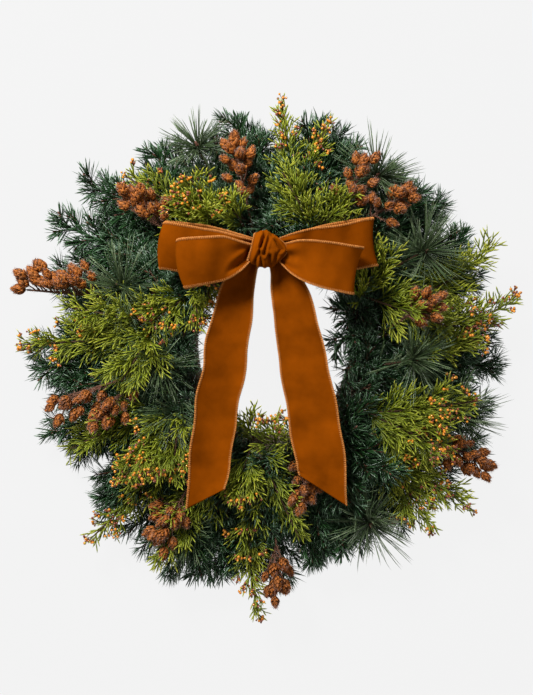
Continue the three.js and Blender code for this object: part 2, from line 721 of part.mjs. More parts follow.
/** The knot, the loops and tails cut to fit it, and the wire that holds it to the ring. */
function makeBow() {
  const [x, y, z] = KNOT.centre;
  add("bow_knot", geometryOf(solidOf(knotGeometry())), COLOURS.ribbon);
  const clearKnot = solidOf(knotGeometry(GAP));
  const [across, , deep] = KNOT.size;
  stand({ from: V(x, y - 6, z), to: V(x, y + 6, z), radius: Math.max(across, deep), owner: "bow_knot" });
  for (const [name, stations] of Object.entries(BOW)) {
    const steps = name.includes("loop") ? 18 : 12;
    const band = solidOf(ribbonBand(stations, steps)).subtract(clearKnot);
    add(name, geometryOf(band), COLOURS.ribbon);
    standBand(name, stations);
  }
  const foot = V(...WIRE.foot, RING.height + 2 * GAP);
  const head = V(...WIRE.head, z - 0.7 * deep);
  const wire = tube(new THREE.LineCurve3(foot, head), WIRE.radius, 6, 1).subtract(clearKnot);
  add("bow_wire", geometryOf(wire), COLOURS.tie_wire, 0.5);
  stand({ from: foot, to: head, radius: WIRE.radius, owner: "bow_wire" });
}

/** All stems are placed before anything grows on them. */
function makeSprays() {
  const sprays = SPRAYS.map((row, turn) => ({ arms: armsOf(row), turn, cones: [], solids: [] }));
  for (const kind of ["cone", "cedar", "fir", "pine"]) {
    for (const spray of sprays.filter((s) => s.arms[0].kind.endsWith(kind))) {
      for (const arm of spray.arms) kinds[kind](spray, arm);
      add(spray.arms[0].name, geometryOf(wasm.Manifold.union(spray.solids)), COLOURS[kind]);
    }
  }
}

makeRing();
makeBow();
makeSprays();

// The part's origin is on the surface that the wreath lies on, under the middle of its box.
const box = new THREE.Box3().setFromObject(wreath);
wreath.position.set(-(box.min.x + box.max.x) / 2, -(box.min.y + box.max.y) / 2, -box.min.z);

export default wreath;
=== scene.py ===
"""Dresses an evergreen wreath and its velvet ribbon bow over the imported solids."""
import functools
import math

import bpy
import numpy as np
from bpy.props import FloatProperty, FloatVectorProperty, IntProperty, PointerProperty
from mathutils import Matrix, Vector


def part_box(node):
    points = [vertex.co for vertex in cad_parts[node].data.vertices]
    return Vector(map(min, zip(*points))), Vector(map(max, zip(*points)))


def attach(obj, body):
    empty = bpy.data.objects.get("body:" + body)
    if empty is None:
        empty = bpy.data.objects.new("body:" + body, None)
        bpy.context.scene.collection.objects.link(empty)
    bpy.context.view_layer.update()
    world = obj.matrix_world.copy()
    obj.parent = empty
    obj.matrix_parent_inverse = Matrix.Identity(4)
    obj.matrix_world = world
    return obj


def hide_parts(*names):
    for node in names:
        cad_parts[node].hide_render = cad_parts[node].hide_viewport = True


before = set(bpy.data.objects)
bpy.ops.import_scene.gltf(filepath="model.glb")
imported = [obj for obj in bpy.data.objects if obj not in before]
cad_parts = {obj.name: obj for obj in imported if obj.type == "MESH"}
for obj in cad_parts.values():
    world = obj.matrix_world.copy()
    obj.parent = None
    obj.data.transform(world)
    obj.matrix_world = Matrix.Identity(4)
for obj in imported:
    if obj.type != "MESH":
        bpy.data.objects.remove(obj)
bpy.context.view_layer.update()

bl_info = {
    "name": "Evergreen Wreath",
    "version": (1, 0, 0),
    "blender": (4, 5, 0),
    "location": "3D View > Sidebar > Wreath",
    "description": "Builds an evergreen wreath with cones, berries and a velvet ribbon bow",
    "category": "Add Mesh",
}

MM = 0.001
TURN = 2 * math.pi
GOLDEN = math.pi * (3 - math.sqrt(5))
UP = np.array([0.0, 0.0, 1.0])
BANDS = 4  # a piece's finishes lie side by side in its UV map, in this many bands

# ---- Where the pieces are, in millimetres from the middle of the ribbon's knot line ----
RING_CENTRE = np.array([8.0, 9.0])
RING_OVAL = np.array([0.914, 1.086])
RING_INNER = 116.0
RING_OUTER = 160.0
RING_HEIGHT = 36.0
RING_EDGE = 9.0
INWARD_REACH = 108.0  # how near the ring's centre the shoots on its right side may come
FLOOR = 1.2  # the lowest that a needle's middle line lies

# Where a stem leaves the ring: distance from its centre, height, and how far its middle rises.
LAYERS = {
    "back": (RING_OUTER + 4.2, 20.0, 6.0),
    "front": (RING_OUTER - 8.0, RING_HEIGHT + 3.6, 4.0),
    "top": ((RING_INNER + RING_OUTER) / 2, RING_HEIGHT + 4.2, 14.0),
}
FORK = 0.22  # where further arms leave the first one

# How blades narrow towards their tips: places along them, and the share of their width there.
BUD = [(0, 0.6), (0.35, 1), (0.75, 0.75)]
FIR_NEEDLE = [(0, 0.5), (0.15, 1), (0.8, 0.95)]
FILLING_NEEDLE = [(0, 0.6), (0.6, 1)]
PINE_NEEDLE = [(0, 0.7), (0.1, 1), (0.5, 1), (0.85, 0.8)]
LEAFLET = [(0, 0.6), (0.3, 1), (0.75, 0.95)]
CONE_SCALE = [(0, 0.8), (0.3, 1), (0.6, 0.74), (0.85, 0.32)]
HAIR = [(0, 1), (0.6, 0.8)]
STITCH = [(0, 0.5), (0.1, 1), (0.3, 1), (0.5, 1), (0.7, 1), (0.92, 0.9)]
# A cone's outline: places along it, and the share of its radius there.
CONE_PLACES = [0, 0.1, 0.35, 0.65, 0.88, 1]
CONE_WIDTHS = [0.38, 0.7, 1, 0.9, 0.5, 0.12]

# How far apart things grow along the stems and twigs.
FIR_TWIG_PITCH = 14
FILLING_TWIG_PITCH = 17
SIDE_TWIG_PITCH = 22
BUD_SCALE_PITCH = 4.5
CEDAR_BRANCH_PITCH = 8.6
CEDAR_TWIG_PITCH = 7.4
LEAFLET_PITCH = 4.9
CEDAR_BRANCH = 47  # the longest branch and twig of a cedar spray
CEDAR_TWIG = 29
COLLAR_SCALES = 30  # scales round the bud of a pine spray
# How many hairs a cone, a stem of cones and the stalk of a cone have.
CONE_HAIRS = 170
STEM_HAIRS = 160
STALK_HAIRS = 26

# The bundle under the ring's twine: points round the ring and round its section, and its inset.
CORE_GRID = (200, 24)
CORE_INSET = 2.6
# The twine: its turns, the points in one turn, and its sides.
TWINE_TURNS = 262
TWINE_STEPS = 24
TWINE_SIDES = 6

# The first of the numbers that seed each kind's random draws.
SEEDS = {
    "ring": 11,
    "knot": 77,
    "fir": 100,
    "pine": 200,
    "cedar": 300,
    "cone": 400,
    "ribbon": 600,
    "fir filling": 900,
    "cedar filling": 950,
    "stitches": 1100,
}

# Each spray, from number 01 on: its layer, the ring's angle at its root, and the tip of each arm.
FIR_SPRAYS = [
    ("back", 22, [(280, 153, 32)]),
    ("back", 42, [(210, 223, 45)]),
    ("back", 70, [(116, 286, 35), (58, 311, 30)]),
    ("back", 96, [(-45, 325, 40)]),
    ("back", 128, [(-257, 237, 45), (-157, 282, 30)]),
    ("back", 149, [(-300, 182, 38)]),
    ("back", 184, [(-327, -28, 28)]),
    ("back", 200, [(-315, -123, 26)]),
    ("back", 219, [(-234, -224, 30)]),
    ("back", 252, [(-94, -316, 30)]),
    ("back", 283, [(71, -291, 34), (113, -272, 38)]),
    ("back", 352, [(270, -50, 38)]),
    ("top", 8, [(98, 66, 66), (94, 0, 62)]),
    ("top", 306, [(172, -176, 80), (107, -214, 72), (112, -76, 62)]),
]
PINE_SPRAYS = [
    ("back", 57, [(152, 243, 60)]),
    ("back", 110, [(-99, 285, 62)]),
    ("top", 30, [(217, 137, 84)]),
    ("top", 183, [(-152, -20, 66)]),
    ("top", 166, [(-206, 90, 60)]),
    ("top", 346, [(205, -12, 72)]),
    ("back", 302, [(142, -243, 58)]),
    ("back", 337, [(266, -94, 42)]),
    ("top", 199, [(-130, -88, 66)]),
    ("back", 238, [(-113, -259, 28)]),
]
CEDAR_SPRAYS = [
    ("front", 10, [(348, 76, 58)]),
    ("front", 22, [(316, 158, 62)]),
    ("top", 18, [(154, 143, 98), (252, 31, 88)]),
    ("front", 84, [(85, 318, 60), (19, 345, 54)]),
    ("top", 70, [(112, 215, 92), (20, 246, 84)]),
    ("top", 112, [(-198, 241, 80), (-104, 232, 92)]),
    ("top", 172, [(-280, 60, 84), (-203, -44, 88)]),
    ("front", 176, [(-346, 7, 54)]),
    ("front", 205, [(-280, -140, 58)]),
    ("top", 211, [(-203, -180, 84), (-133, -176, 88)]),
    ("front", 226, [(-252, -268, 40)]),
    ("front", 244, [(-157, -298, 70)]),
    ("front", 264, [(-12, -376, 46)]),
    ("top", 258, [(-26, -92, 74), (-52, -207, 78), (44, -262, 72)]),
    ("front", 318, [(287, -224, 52), (228, -249, 46)]),
    ("top", 326, [(250, -140, 84), (283, -72, 72)]),
    ("top", 150, [(-158, 40, 78)]),
]
CONE_SPRAYS = [
    ("front", 160, [(-338, 84, 66)]),
    ("front", 190, [(-290, -67, 78), (-232, -82, 82)]),
    ("front", 274, [(7, -326, 62)]),
    ("front", 333, [(296, -158, 60)]),
    ("top", 129, [(-192, 196, 84)]),
    ("top", 102, [(-45, 280, 90)]),
    ("top", 52, [(128, 252, 96), (190, 214, 96)]),
    ("top", 0, [(222, 66, 104)]),
    ("top", 235, [(-150, -258, 80)]),
    ("top", 290, [(50, -200, 78)]),
]
BERRIED = {f"cedar_spray_{n:02d}" for n in (1, 4, 6, 8, 10, 11, 13, 15, 16, 17)}
# Single twigs of berried cedar between the sprays: from where to where.
CEDAR_TWIGS = [
    ((-92, 116, 44), (-80, 68, 88)),
    ((-114, 84, 44), (-92, 42, 84)),
    ((-70, 160, 50), (-118, 204, 92)),
    ((-30, 165, 50), (-58, 212, 94)),
    ((196, -8, 40), (300, 16, 60)),
    ((14, -142, 48), (4, -98, 76)),
    ((42, -138, 48), (32, -98, 72)),
    ((-20, -150, 50), (-46, -206, 88)),
    ((-160, -96, 50), (-176, -172, 90)),
]
# How far the middle of a spray's stems is drawn aside, so that they hang in a bow.
SAG = {
    "cedar_spray_01": (22, -46),
    "cedar_spray_02": (26, -50),
    "cedar_spray_13": (-34, 6),
}
# How full a spray is beside the others of its kind.
FULLNESS = {
    "fir_spray_08": 0.45,
    "fir_spray_13": 0.6,
    "pine_spray_02": 0.72,
    "cedar_spray_01": 0.85,
    "cedar_spray_04": 0.5,
    "cedar_spray_07": 1.15,
    "cedar_spray_08": 0.9,
    "cedar_spray_11": 0.7,
    "cedar_spray_13": 0.7,
    "cedar_spray_14": 0.65,
    "cedar_spray_15": 0.85,
}
# How far back from a spray's tip its cones reach, which way they are drawn aside, and their number.
CLUSTERS = {
    "cone_spray_01": (104.0, (0.1, 1.1, 0.2), 28),
    "cone_spray_02": (70.0, (0.2, -0.85, 0.1), 18),
    "cone_spray_03": (56.0, (0.35, -0.55, 0.0), 12),
    "cone_spray_05": (62.0, (0.4, 0.9, 0.0), 18),
    "cone_spray_06": (76.0, (0.0, 0.0, 0.0), 17),
    "cone_spray_08": (40.0, (0.2, -0.2, 0.0), 12),
}
LOOSE_CLUSTER = (60.0, (0.0, 0.0, 0.0))  # the same for the other cone sprays
# How far the foliage reaches from the ring's centre at the hours of a clock, from twelve.
REACH = [312, 312, 350, 368, 372, 318, 338, 362, 360, 396, 355, 314]

# A ribbon's centre line, and half its width there as a vector: (x, y, z, wx, wy, wz).
BOW = {
    "bow_loop_left_front": [
        (-18, 135, 136, 0, 7, 1),
        (-37, 127, 147, 0, 20, 2),
        (-60, 123, 156, -1, 29.5, 6),
        (-92, 119, 160, -3, 31, 9),
        (-112, 117, 156, -4.5, 32, 8),
        (-120.5, 116, 146, -4.5, 32, 6),
        (-112, 117, 135, -4.5, 32, 6),
        (-70, 124, 128, -2, 27, 3),
        (-18, 134, 128, 0, 8, 0),
    ],
    "bow_loop_left_back": [
        (-18, 141, 121, 1, 8, 1),
        (-40, 137, 122, 0, 18, 2),
        (-66, 135, 121, 0, 26, 6),
        (-110, 137, 119, 1, 31.5, 9),
        (-139, 142, 115, 2, 31.5, 9),
        (-148, 143, 107, 2, 31.5, 0),
        (-139, 145, 98, 2, 31.5, 0),
        (-80, 142, 98, 0, 28, -1),
        (-18, 143, 115, 0, 9, 0),
    ],
    "bow_loop_right_front": [
        (12, 133, 136, 0, 9, 1),
        (27, 127, 147, 1, 18, 2),
        (46, 122, 156, 2, 26, 5),
        (76, 115.5, 160, 4, 30, 6),
        (108, 109.5, 156, 6.5, 31, 5),
        (120, 107.5, 146, 6.5, 31, 5),
        (108, 109.5, 135, 6.5, 31, 5),
        (60, 119, 128, 3, 27, 3),
        (12, 133, 128, 0, 9, 0),
    ],
    "bow_loop_right_back": [
        (12, 142, 121, 0, 9, 1),
        (32, 141, 122, -1, 17, 2),
        (60, 137, 122, -2, 28, 2),
        (100, 139, 120, -3, 31, 0),
        (134, 146, 115, -3.5, 32, 0),
        (144.5, 148, 107, -3.5, 32, 0),
        (134, 149, 98, -3.5, 32, 0),
        (76, 143, 98, -2, 28, -1),
        (12, 142, 115, 0, 9, 0),
    ],
    "bow_tail_left": [
        (-19, 130, 120, 9, 0, 0),
        (-35, 106, 107, 18, -2, -3),
        (-43, 78, 102, 23, -3, -3),
        (-56, 14, 105, 28.3, -3.7, -7),
        (-62, -31, 105, 28.5, -3.7, -9),
        (-70, -69, 105, 28.5, -3.7, -9),
        (-75, -110, 104, 28, -3, -6),
        (-81, -160, 105, 27.5, -1, -3),
        (-85, -204, 106, 26, 13.7, 4),
    ],
    "bow_tail_right": [
        (7, 130, 118, 9, 1, 1),
        (21, 108, 116, 16, 3, 7),
        (30, 80, 114, 24, 4.3, 11),
        (40.5, 34, 108, 28.4, 4.9, 10),
        (46.5, -5, 105, 30.8, 5.4, 11),
        (54.5, -45, 105, 32, 5.6, 10),
        (62.5, -92, 104, 33.2, 5.8, 6),
        (71, -145, 105, 33.4, 3, 3),
        (76, -193, 106, 32.2, -20.6, 2),
    ],
}
KNOT_CENTRE = np.array([-3.0, 135.0, 130.0])
KNOT_SIZE = np.array([25.0, 25.0, 21.0])
KNOT_CLOTH = 125.0  # the length of ribbon round the knot
# The creases on the knot's front: across and up where each starts and ends, depth and half width.
KNOT_CREASES = [
    (-0.36, 0.5, -0.62, -0.9, 4.0, 0.08),
    (-0.2, 0.78, -0.4, 0.12, 5.0, 0.1),
    (-0.42, -0.2, -0.3, -0.95, 5.0, 0.08),
    (0.06, 0.6, -0.2, -0.3, 3.5, 0.08),
    (0.5, 0.5, 0.68, -0.1, 5.0, 0.1),
    (0.12, -0.45, 0.26, -1.0, 5.0, 0.1),
    (0.55, -0.3, 0.42, -0.9, 2.5, 0.1),
]

# The grid that the height of the bow's underside is read on.
BOW_CORNER = np.array([-190.0, -250.0])
BOW_CELL = 3.0
BOW_CELLS = (130, 160)
OPEN_HEIGHT = 1e3  # what a cell holds where nothing of the bow is above it
BOW_CLEARANCE = 2.5

# How finely the ribbon's surface is worked out, along it and across it.
RIBBON_GRID = (180, 49)
KNOT_GRID = (241, 121)
# The copper cord along the ribbon's edges.
CORD_RADIUS = 0.78
CORD_SIDES = 6

# How many pleats each piece is gathered into at the knot, and where they start.
PLEATS = {
    "bow_loop_left_front": (2.0, 0.6),
    "bow_loop_left_back": (2.0, 0.6),
    "bow_loop_right_front": (2.4, 2.3),
    "bow_loop_right_back": (2.4, 2.3),
    "bow_tail_left": (1.5, 1.2),
    "bow_tail_right": (1.5, 2.6),
}
# Single creases that run out of the knot: where across the ribbon they start and end,
# their depth, half width and reach.
CREASES = {
    "bow_loop_left_front": [
        (0.15, -0.75, 13.0, 3.4, 50.0),
        (-0.1, -0.1, 5.0, 12.0, 75.0),
        (0.5, 0.7, 5.0, 3.0, 30.0),
    ],
    "bow_loop_left_back": [(0.2, 0.3, 3.0, 5.0, 50.0)],
    "bow_loop_right_front": [
        (0.45, 0.6, 8.0, 3.0, 24.0),
        (-0.3, -0.2, 8.0, 3.5, 34.0),
        (-0.5, -0.4, 4.0, 9.0, 62.0),
    ],
    "bow_loop_right_back": [(0.1, 0.4, 5.0, 5.0, 55.0)],
    "bow_tail_left": [(0.3, 0.2, 4.0, 5.0, 60.0)],
    "bow_tail_right": [(-0.2, -0.9, 10.0, 4.0, 66.0)],
}

# Slow waves over the flat of the ribbon: their pitch and height.
RIPPLES = ((95, 1.2), (52, 0.9), (30, 0.5))

# Lights: place and size in metres, and power in watts.
KEY_LIGHT = ((-0.95, 1.45, 1.66), 0.7, 80)
FILL_LIGHT = ((1.3, -0.3, 2.0), 1.4, 5)
DAYLIGHT = 0.24
VIEW_MIDDLE = np.array([-2.1, 3.5])
VIEW_LEVEL = 50.0  # the height at which the picture has its stated size

# The frame's axes are the same, but its origin is under the middle of the whole.
ring_low, ring_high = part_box("wound_ring")
ring_middle = [(ring_low[0] + ring_high[0]) / 2, (ring_low[1] + ring_high[1]) / 2, ring_low[2]]
SHIFT = np.array(ring_middle) / MM
SHIFT[:2] -= RING_CENTRE


# ---- Sizes and colours that a user would change ----
def length_property(name, description, value):
    return FloatProperty(name=name, description=description, default=value, unit="LENGTH")


def count_property(name, description, value, least):
    return IntProperty(name=name, description=description, default=value, min=least)


def colour_property(name, description, value):
    return FloatVectorProperty(
        name=name, description=description, subtype="COLOR", default=value, min=0, max=1
    )


class WreathFoliageSizes(bpy.types.PropertyGroup):
    fir_needle: length_property("Fir needle", "Length of a fir needle", 0.0265)
    fir_pitch: length_property("Fir pitch", "Twig between two fir needles", 0.00098)
    pine_needle: length_property("Pine needle", "Length of a pine needle", 0.074)
    pine_needles: count_property("Pine bundles", "Bundles of three needles at one pine tip", 64, 20)
    leaflet: length_property("Cedar leaflet", "Length of a cedar leaflet", 0.0178)
    berry: length_property("Berry", "Diameter of a berry", 0.0039)
    cone: length_property("Cone", "Length of a papery cone", 0.0168)
    cones: count_property("Cones", "Most cones on one spray", 17, 1)
    scales: count_property("Cone scales", "Scales of one cone", 40, 6)


class WreathRibbonSizes(bpy.types.PropertyGroup):
    width: length_property("Width", "Width of the flat ribbon", 0.07)
    thickness: length_property("Thickness", "Thickness of the velvet", 0.0011)
    stitch: length_property("Stitch", "Edge between two stitches", 0.0026)


class WreathColours(bpy.types.PropertyGroup):
    velvet: colour_property("Velvet", "Velvet that faces the light", (0.232, 0.049, 0.001))
    thread: colour_property("Thread", "Copper thread of the ribbon's edge", (0.56, 0.21, 0.05))
    fir: colour_property("Fir", "Fir needles", (0.026, 0.082, 0.023))
    pine: colour_property("Pine", "Pine needles", (0.075, 0.125, 0.044))
    cedar: colour_property("Cedar", "Cedar leaflets", (0.29, 0.36, 0.01))
    cone: colour_property("Cone", "Papery scales of the cones", (0.5, 0.148, 0.022))
    berry: colour_property("Berry", "Ripe berries", (0.75, 0.24, 0.006))
    bark: colour_property("Bark", "Twigs and stalks", (0.085, 0.045, 0.026))
    twine: colour_property("Winding", "Winding of the ring", (0.16, 0.12, 0.085))


class WreathStageSizes(bpy.types.PropertyGroup):
    height: length_property("Camera height", "Camera above the wreath", 2.7)
    view: length_property("View", "Height of the picture at the wreath", 0.973)
    backdrop: FloatProperty(
        name="Backdrop", description="Brightness of the pale floor", default=0.873, min=0, max=1
    )


def foliage_sizes():
    return bpy.context.scene.wreath_foliage


def ribbon_sizes():
    return bpy.context.scene.wreath_ribbon


def colours():
    return bpy.context.scene.wreath_colours


def stage_sizes():
    return bpy.context.scene.wreath_stage


# ---- Lines that things grow along ----
def unit(v):
    return v / np.maximum(np.linalg.norm(v, axis=-1, keepdims=True), 1e-9)


class Lines:
    """Many bent lines at once: start + run * t + bend * t * t, with t from 0 to 1."""

    def __init__(self, start, run, bend=0.0):
        self.start = np.atleast_2d(np.asarray(start, float))
        self.run = np.broadcast_to(np.atleast_2d(np.asarray(run, float)), self.start.shape)
        self.bend = np.broadcast_to(bend, self.start.shape)

    def __len__(self):
        return len(self.start)

    def pick(self, which):
        return Lines(self.start[which], self.run[which], self.bend[which])

    def at(self, t):
        t = np.asarray(t, float)[..., None]
        return self.start + self.run * t + self.bend * t * t

    def way(self, t):
        t = np.asarray(t, float)[..., None]
        return unit(self.run + 2 * self.bend * t)

    def foot_way(self):
        return self.way(np.zeros(len(self)))

    def tip(self):
        return self.at(np.ones(len(self)))

    def tip_way(self):
        return self.way(np.ones(len(self)))

    def length(self):
        return np.linalg.norm(self.run + self.bend, axis=1)

    def shoots(self, t, way, size, curl):
        """New lines, each from its place t on one of these, which bend by their curl."""
        return Lines(self.at(t), way * size[:, None], curl * size[:, None])

    def settled(self):
        """The same lines, with those that would go into the floor laid down on it."""
        run, bend = self.run.copy(), self.bend.copy()
        fall = np.maximum(self.start[:, 2] - FLOOR, 0)
        low = (self.start + run + bend)[:, 2] < FLOOR
        run[low, 2] = -2 * fall[low]
        bend[low, 2] = fall[low]
        return Lines(self.start, run, bend)


def joined(*groups):
    """Several groups of lines as one."""
    parts = ([getattr(group, part) for group in groups] for part in ("start", "run", "bend"))
    return Lines(*(np.concatenate(part) for part in parts))


def arch(start, end, drawn):
    """The line from start to end whose middle is drawn aside."""
    start, end = np.asarray(start, float), np.asarray(end, float)
    middle = (start + end) / 2 + drawn
    return Lines(start, 2 * (middle - start), end - 2 * middle + start)


def on_ring(radius, angle, height):
    """A point at a distance from the ring's centre, before the ring's oval is applied."""
    flat = RING_CENTRE + RING_OVAL * radius * np.array([math.cos(angle), math.sin(angle)])
    return np.append(flat, height)


def arms_of(name, layer, angle, tips):
    """A spray's stems: the first from the ring, and the others forking from it."""
    radius, height, rise = LAYERS[layer]
    root = on_ring(radius, math.radians(angle), height)
    drawn = np.array([*SAG.get(name, (0, 0)), rise])
    arms = [arch(root, tips[0], drawn)]
    arms += [arch(arms[0].at([FORK])[0], tip, drawn) for tip in tips[1:]]
    return joined(*arms)


def leaning(way, lean, turn):
    """Directions that lean off way. turn is round it: 0 to its right, a quarter turn above it."""
    side = np.cross(way, UP)
    upright = np.linalg.norm(side, axis=-1, keepdims=True) < 0.15
    side = unit(np.where(upright, np.cross(way, [0.0, 1.0, 0.0]), side))
    above = np.cross(side, way)
    lean = np.asarray(lean)[..., None]
    turn = np.asarray(turn)[..., None]
    return way * np.cos(lean) + (side * np.cos(turn) + above * np.sin(turn)) * np.sin(lean)


def along_lines(lines, pitch, first, last, random):
    """Places on each line a pitch apart: the line, its number, where on it, and the place's number."""
    counts = np.maximum(1, np.round(lines.length() * (last - first) / pitch)).astype(int)
    which = np.repeat(np.arange(len(lines)), counts)
    place = np.concatenate([np.arange(n) for n in counts])
    t = first + (last - first) * (place + 0.5) / counts[which]
    t = t + random.uniform(-0.4, 0.4, len(t)) * (last - first) / counts[which]
    return lines.pick(which), which, np.clip(t, 0, 1), place


def by_turns(place, spread, random):
    """Turns to the right and the left of a stem, one after the other, give or take a spread."""
    return np.where(place % 2, 0.0, math.pi) + random.normal(0, spread, len(place))


# ---- What grows on the lines ----
class Growth:
    """The points, faces, shades and finishes of one piece, gathered before it becomes a mesh."""

    def __init__(self, *finishes):
        self.finishes = finishes
        self.points, self.faces, self.shades, self.slots = [], [], [], []
        self.total = 0

    def add(self, points, faces, tint, along, finish, chart=None):
        """points is (n, k, 3) for n like bodies, and faces is one body's triangles.

        tint and along are kept in the UV map for the finish, unless chart gives the map itself.
        """
        n, k, _ = points.shape
        slot = self.finishes.index(finish)
        starts = self.total + np.arange(n)[:, None, None] * k
        self.points.append(points.reshape(-1, 3))
        self.faces.append((starts + faces[None]).reshape(-1, 3))
        u = (slot + 0.04 + 0.92 * np.clip(tint, 0, 1)) / BANDS
        shade = np.stack([np.broadcast_to(u, (n, k)), np.broadcast_to(along, (n, k))], axis=-1)
        if chart is not None:
            shade = np.broadcast_to(chart, (n, k, 2))
        self.shades.append(shade.reshape(-1, 2))
        self.slots.append(np.full(n * len(faces), slot))
        self.total += n * k

    def blades(self, finish, lines, across, width, thick, tint, profile, sides=4):
        """Needles, leaflets, scales and stems: bodies that follow lines and end in a point.

        width and thick are half sizes at the widest, and profile gives (t, share of them).
        """
        n = len(lines)
        lines = lines.settled()
        foot = lines.foot_way()
        across = unit(across - foot * np.sum(across * foot, axis=1, keepdims=True))
        width = np.broadcast_to(width, (n,))[:, None]
        thick = np.broadcast_to(thick, (n,))[:, None]
        angles = np.arange(sides) / sides * TURN
        rows = []
        for t, share in profile:
            centre = lines.at(np.full(n, t))
            normal = np.cross(lines.way(np.full(n, t)), across)
            wide, deep = across * width * share, normal * thick * share
            rows += [centre + wide * math.cos(a) + deep * math.sin(a) for a in angles]
        rows.append(lines.tip())
        along = np.append(np.repeat([t for t, _ in profile], sides), 1.0) * 0.96 + 0.02
        spread = np.append(np.tile(np.cos(angles), len(profile)), 0.0) * 0.03
        tint = np.broadcast_to(tint, (n,))[:, None] + spread[None]
        faces = blade_faces(len(profile), sides)
        self.add(np.stack(rows, axis=1), faces, tint, along[None], finish)

    def stems(self, finish, lines, base, tip, tint, sides=6, steps=7):
        """Round tapering stems along lines, with their radius at the base and the tip."""
        n = len(lines)
        profile = [(t, 1 + (tip / base - 1) * t) for t in np.linspace(0, 0.985, steps)]
        across = leaning(lines.foot_way(), np.full(n, math.pi / 2), np.zeros(n))
        self.blades(finish, lines, across, base, base, tint, profile, sides)

    def balls(self, finish, centres, radii, tint):
        """Small round bodies."""
        points, faces = ball_template()
        n = len(centres)
        bodies = centres[:, None, :] + points[None] * radii[:, None, None]
        # along runs from each ball's underside to its top, so that its finish can paint shade on the
        # underside.
        along = (points[:, 2] + 1) / 2
        tint = np.broadcast_to(tint, (n,))[:, None] + points[None, :, 0] * 0.03
        self.add(bodies, faces, tint, along[None], finish)

    def object(self, name, slot):
        """The piece as a mesh object that rides on the wreath."""
        points = np.concatenate(self.points)
        if slot != "ribbon":
            press_down(points)
        points = (points + SHIFT) * MM
        points[:, 2] = np.maximum(points[:, 2], 0)
        faces = np.concatenate(self.faces)
        mesh = bpy.data.meshes.new(name)
        mesh.vertices.add(len(points))
        mesh.vertices.foreach_set("co", points.ravel().astype(np.float32))
        mesh.loops.add(faces.size)
        mesh.loops.foreach_set("vertex_index", faces.ravel().astype(np.int32))
        mesh.polygons.add(len(faces))
        mesh.polygons.foreach_set("loop_start", np.arange(0, faces.size, 3, dtype=np.int32))
        mesh.polygons.foreach_set("material_index", np.concatenate(self.slots).astype(np.int32))
        mesh.polygons.foreach_set("use_smooth", np.full(len(faces), True))
        shades = np.concatenate(self.shades)[faces.ravel()]
        mesh.uv_layers.new(name="OFBake").data.foreach_set("uv", shades.ravel().astype(np.float32))
        for finish in self.finishes:
            mesh.materials.append(finish_named(finish))
        mesh.update(calc_edges=True)
        piece = bpy.data.objects.new(name, mesh)
        bpy.context.scene.collection.objects.link(piece)
        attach(piece, "root")
        return piece


def blade_faces(rows, sides):
    """Triangles of a blade: its sides row by row, its point and its flat foot."""
    faces = []
    for s in range(rows - 1):
        for j in range(sides):
            a, b = s * sides + j, s * sides + (j + 1) % sides
            faces += [(a, b, b + sides), (a, b + sides, a + sides)]
    last = (rows - 1) * sides
    faces += [(last + j, last + (j + 1) % sides, last + sides) for j in range(sides)]
    faces += [(0, j + 1, j) for j in range(1, sides - 1)]
    return np.array(faces)


@functools.lru_cache
def ball_template():
    """A ball of 80 faces: an icosahedron whose faces are split once."""
    g = (1 + math.sqrt(5)) / 2
    corners = [(-1, g, 0), (1, g, 0), (-1, -g, 0), (1, -g, 0), (0, -1, g), (0, 1, g)]
    corners += [(0, -1, -g), (0, 1, -g), (g, 0, -1), (g, 0, 1), (-g, 0, -1), (-g, 0, 1)]
    points = [np.array(c) / math.hypot(1, g) for c in corners]
    whole = [(0, 11, 5), (0, 5, 1), (0, 1, 7), (0, 7, 10), (0, 10, 11), (1, 5, 9), (5, 11, 4)]
    whole += [(11, 10, 2), (10, 7, 6), (7, 1, 8), (3, 9, 4), (3, 4, 2), (3, 2, 6), (3, 6, 8)]
    whole += [(3, 8, 9), (4, 9, 5), (2, 4, 11), (6, 2, 10), (8, 6, 7), (9, 8, 1)]
    faces, halves = [], {}

    def half(a, b):
        key = (min(a, b), max(a, b))
        if key not in halves:
            halves[key] = len(points)
            points.append(unit(points[a] + points[b]))
        return halves[key]

    for a, b, c in whole:
        ab, bc, ca = half(a, b), half(b, c), half(c, a)
        faces += [(a, ab, ca), (b, bc, ab), (c, ca, bc), (ab, bc, ca)]
    return np.array(points), np.array(faces)


# ---- Shader maths as Python expressions ----
class Shade:
    """A socket that can be multiplied or raised to a power. Each step adds its Math node."""

    def __init__(self, finish, socket):
        self.finish = finish
        self.socket = socket

    def _math(self, operation, *values):
        return self.finish.node("ShaderNodeMath", {"operation": operation}, dict(enumerate(values)))[0]

    def __mul__(self, other):
        return self._math("MULTIPLY", self, other)

    __rmul__ = __mul__

    def __pow__(self, other):
        return self._math("POWER", self, other)

    def fraction(self):
        return self._math("FRACT", self)


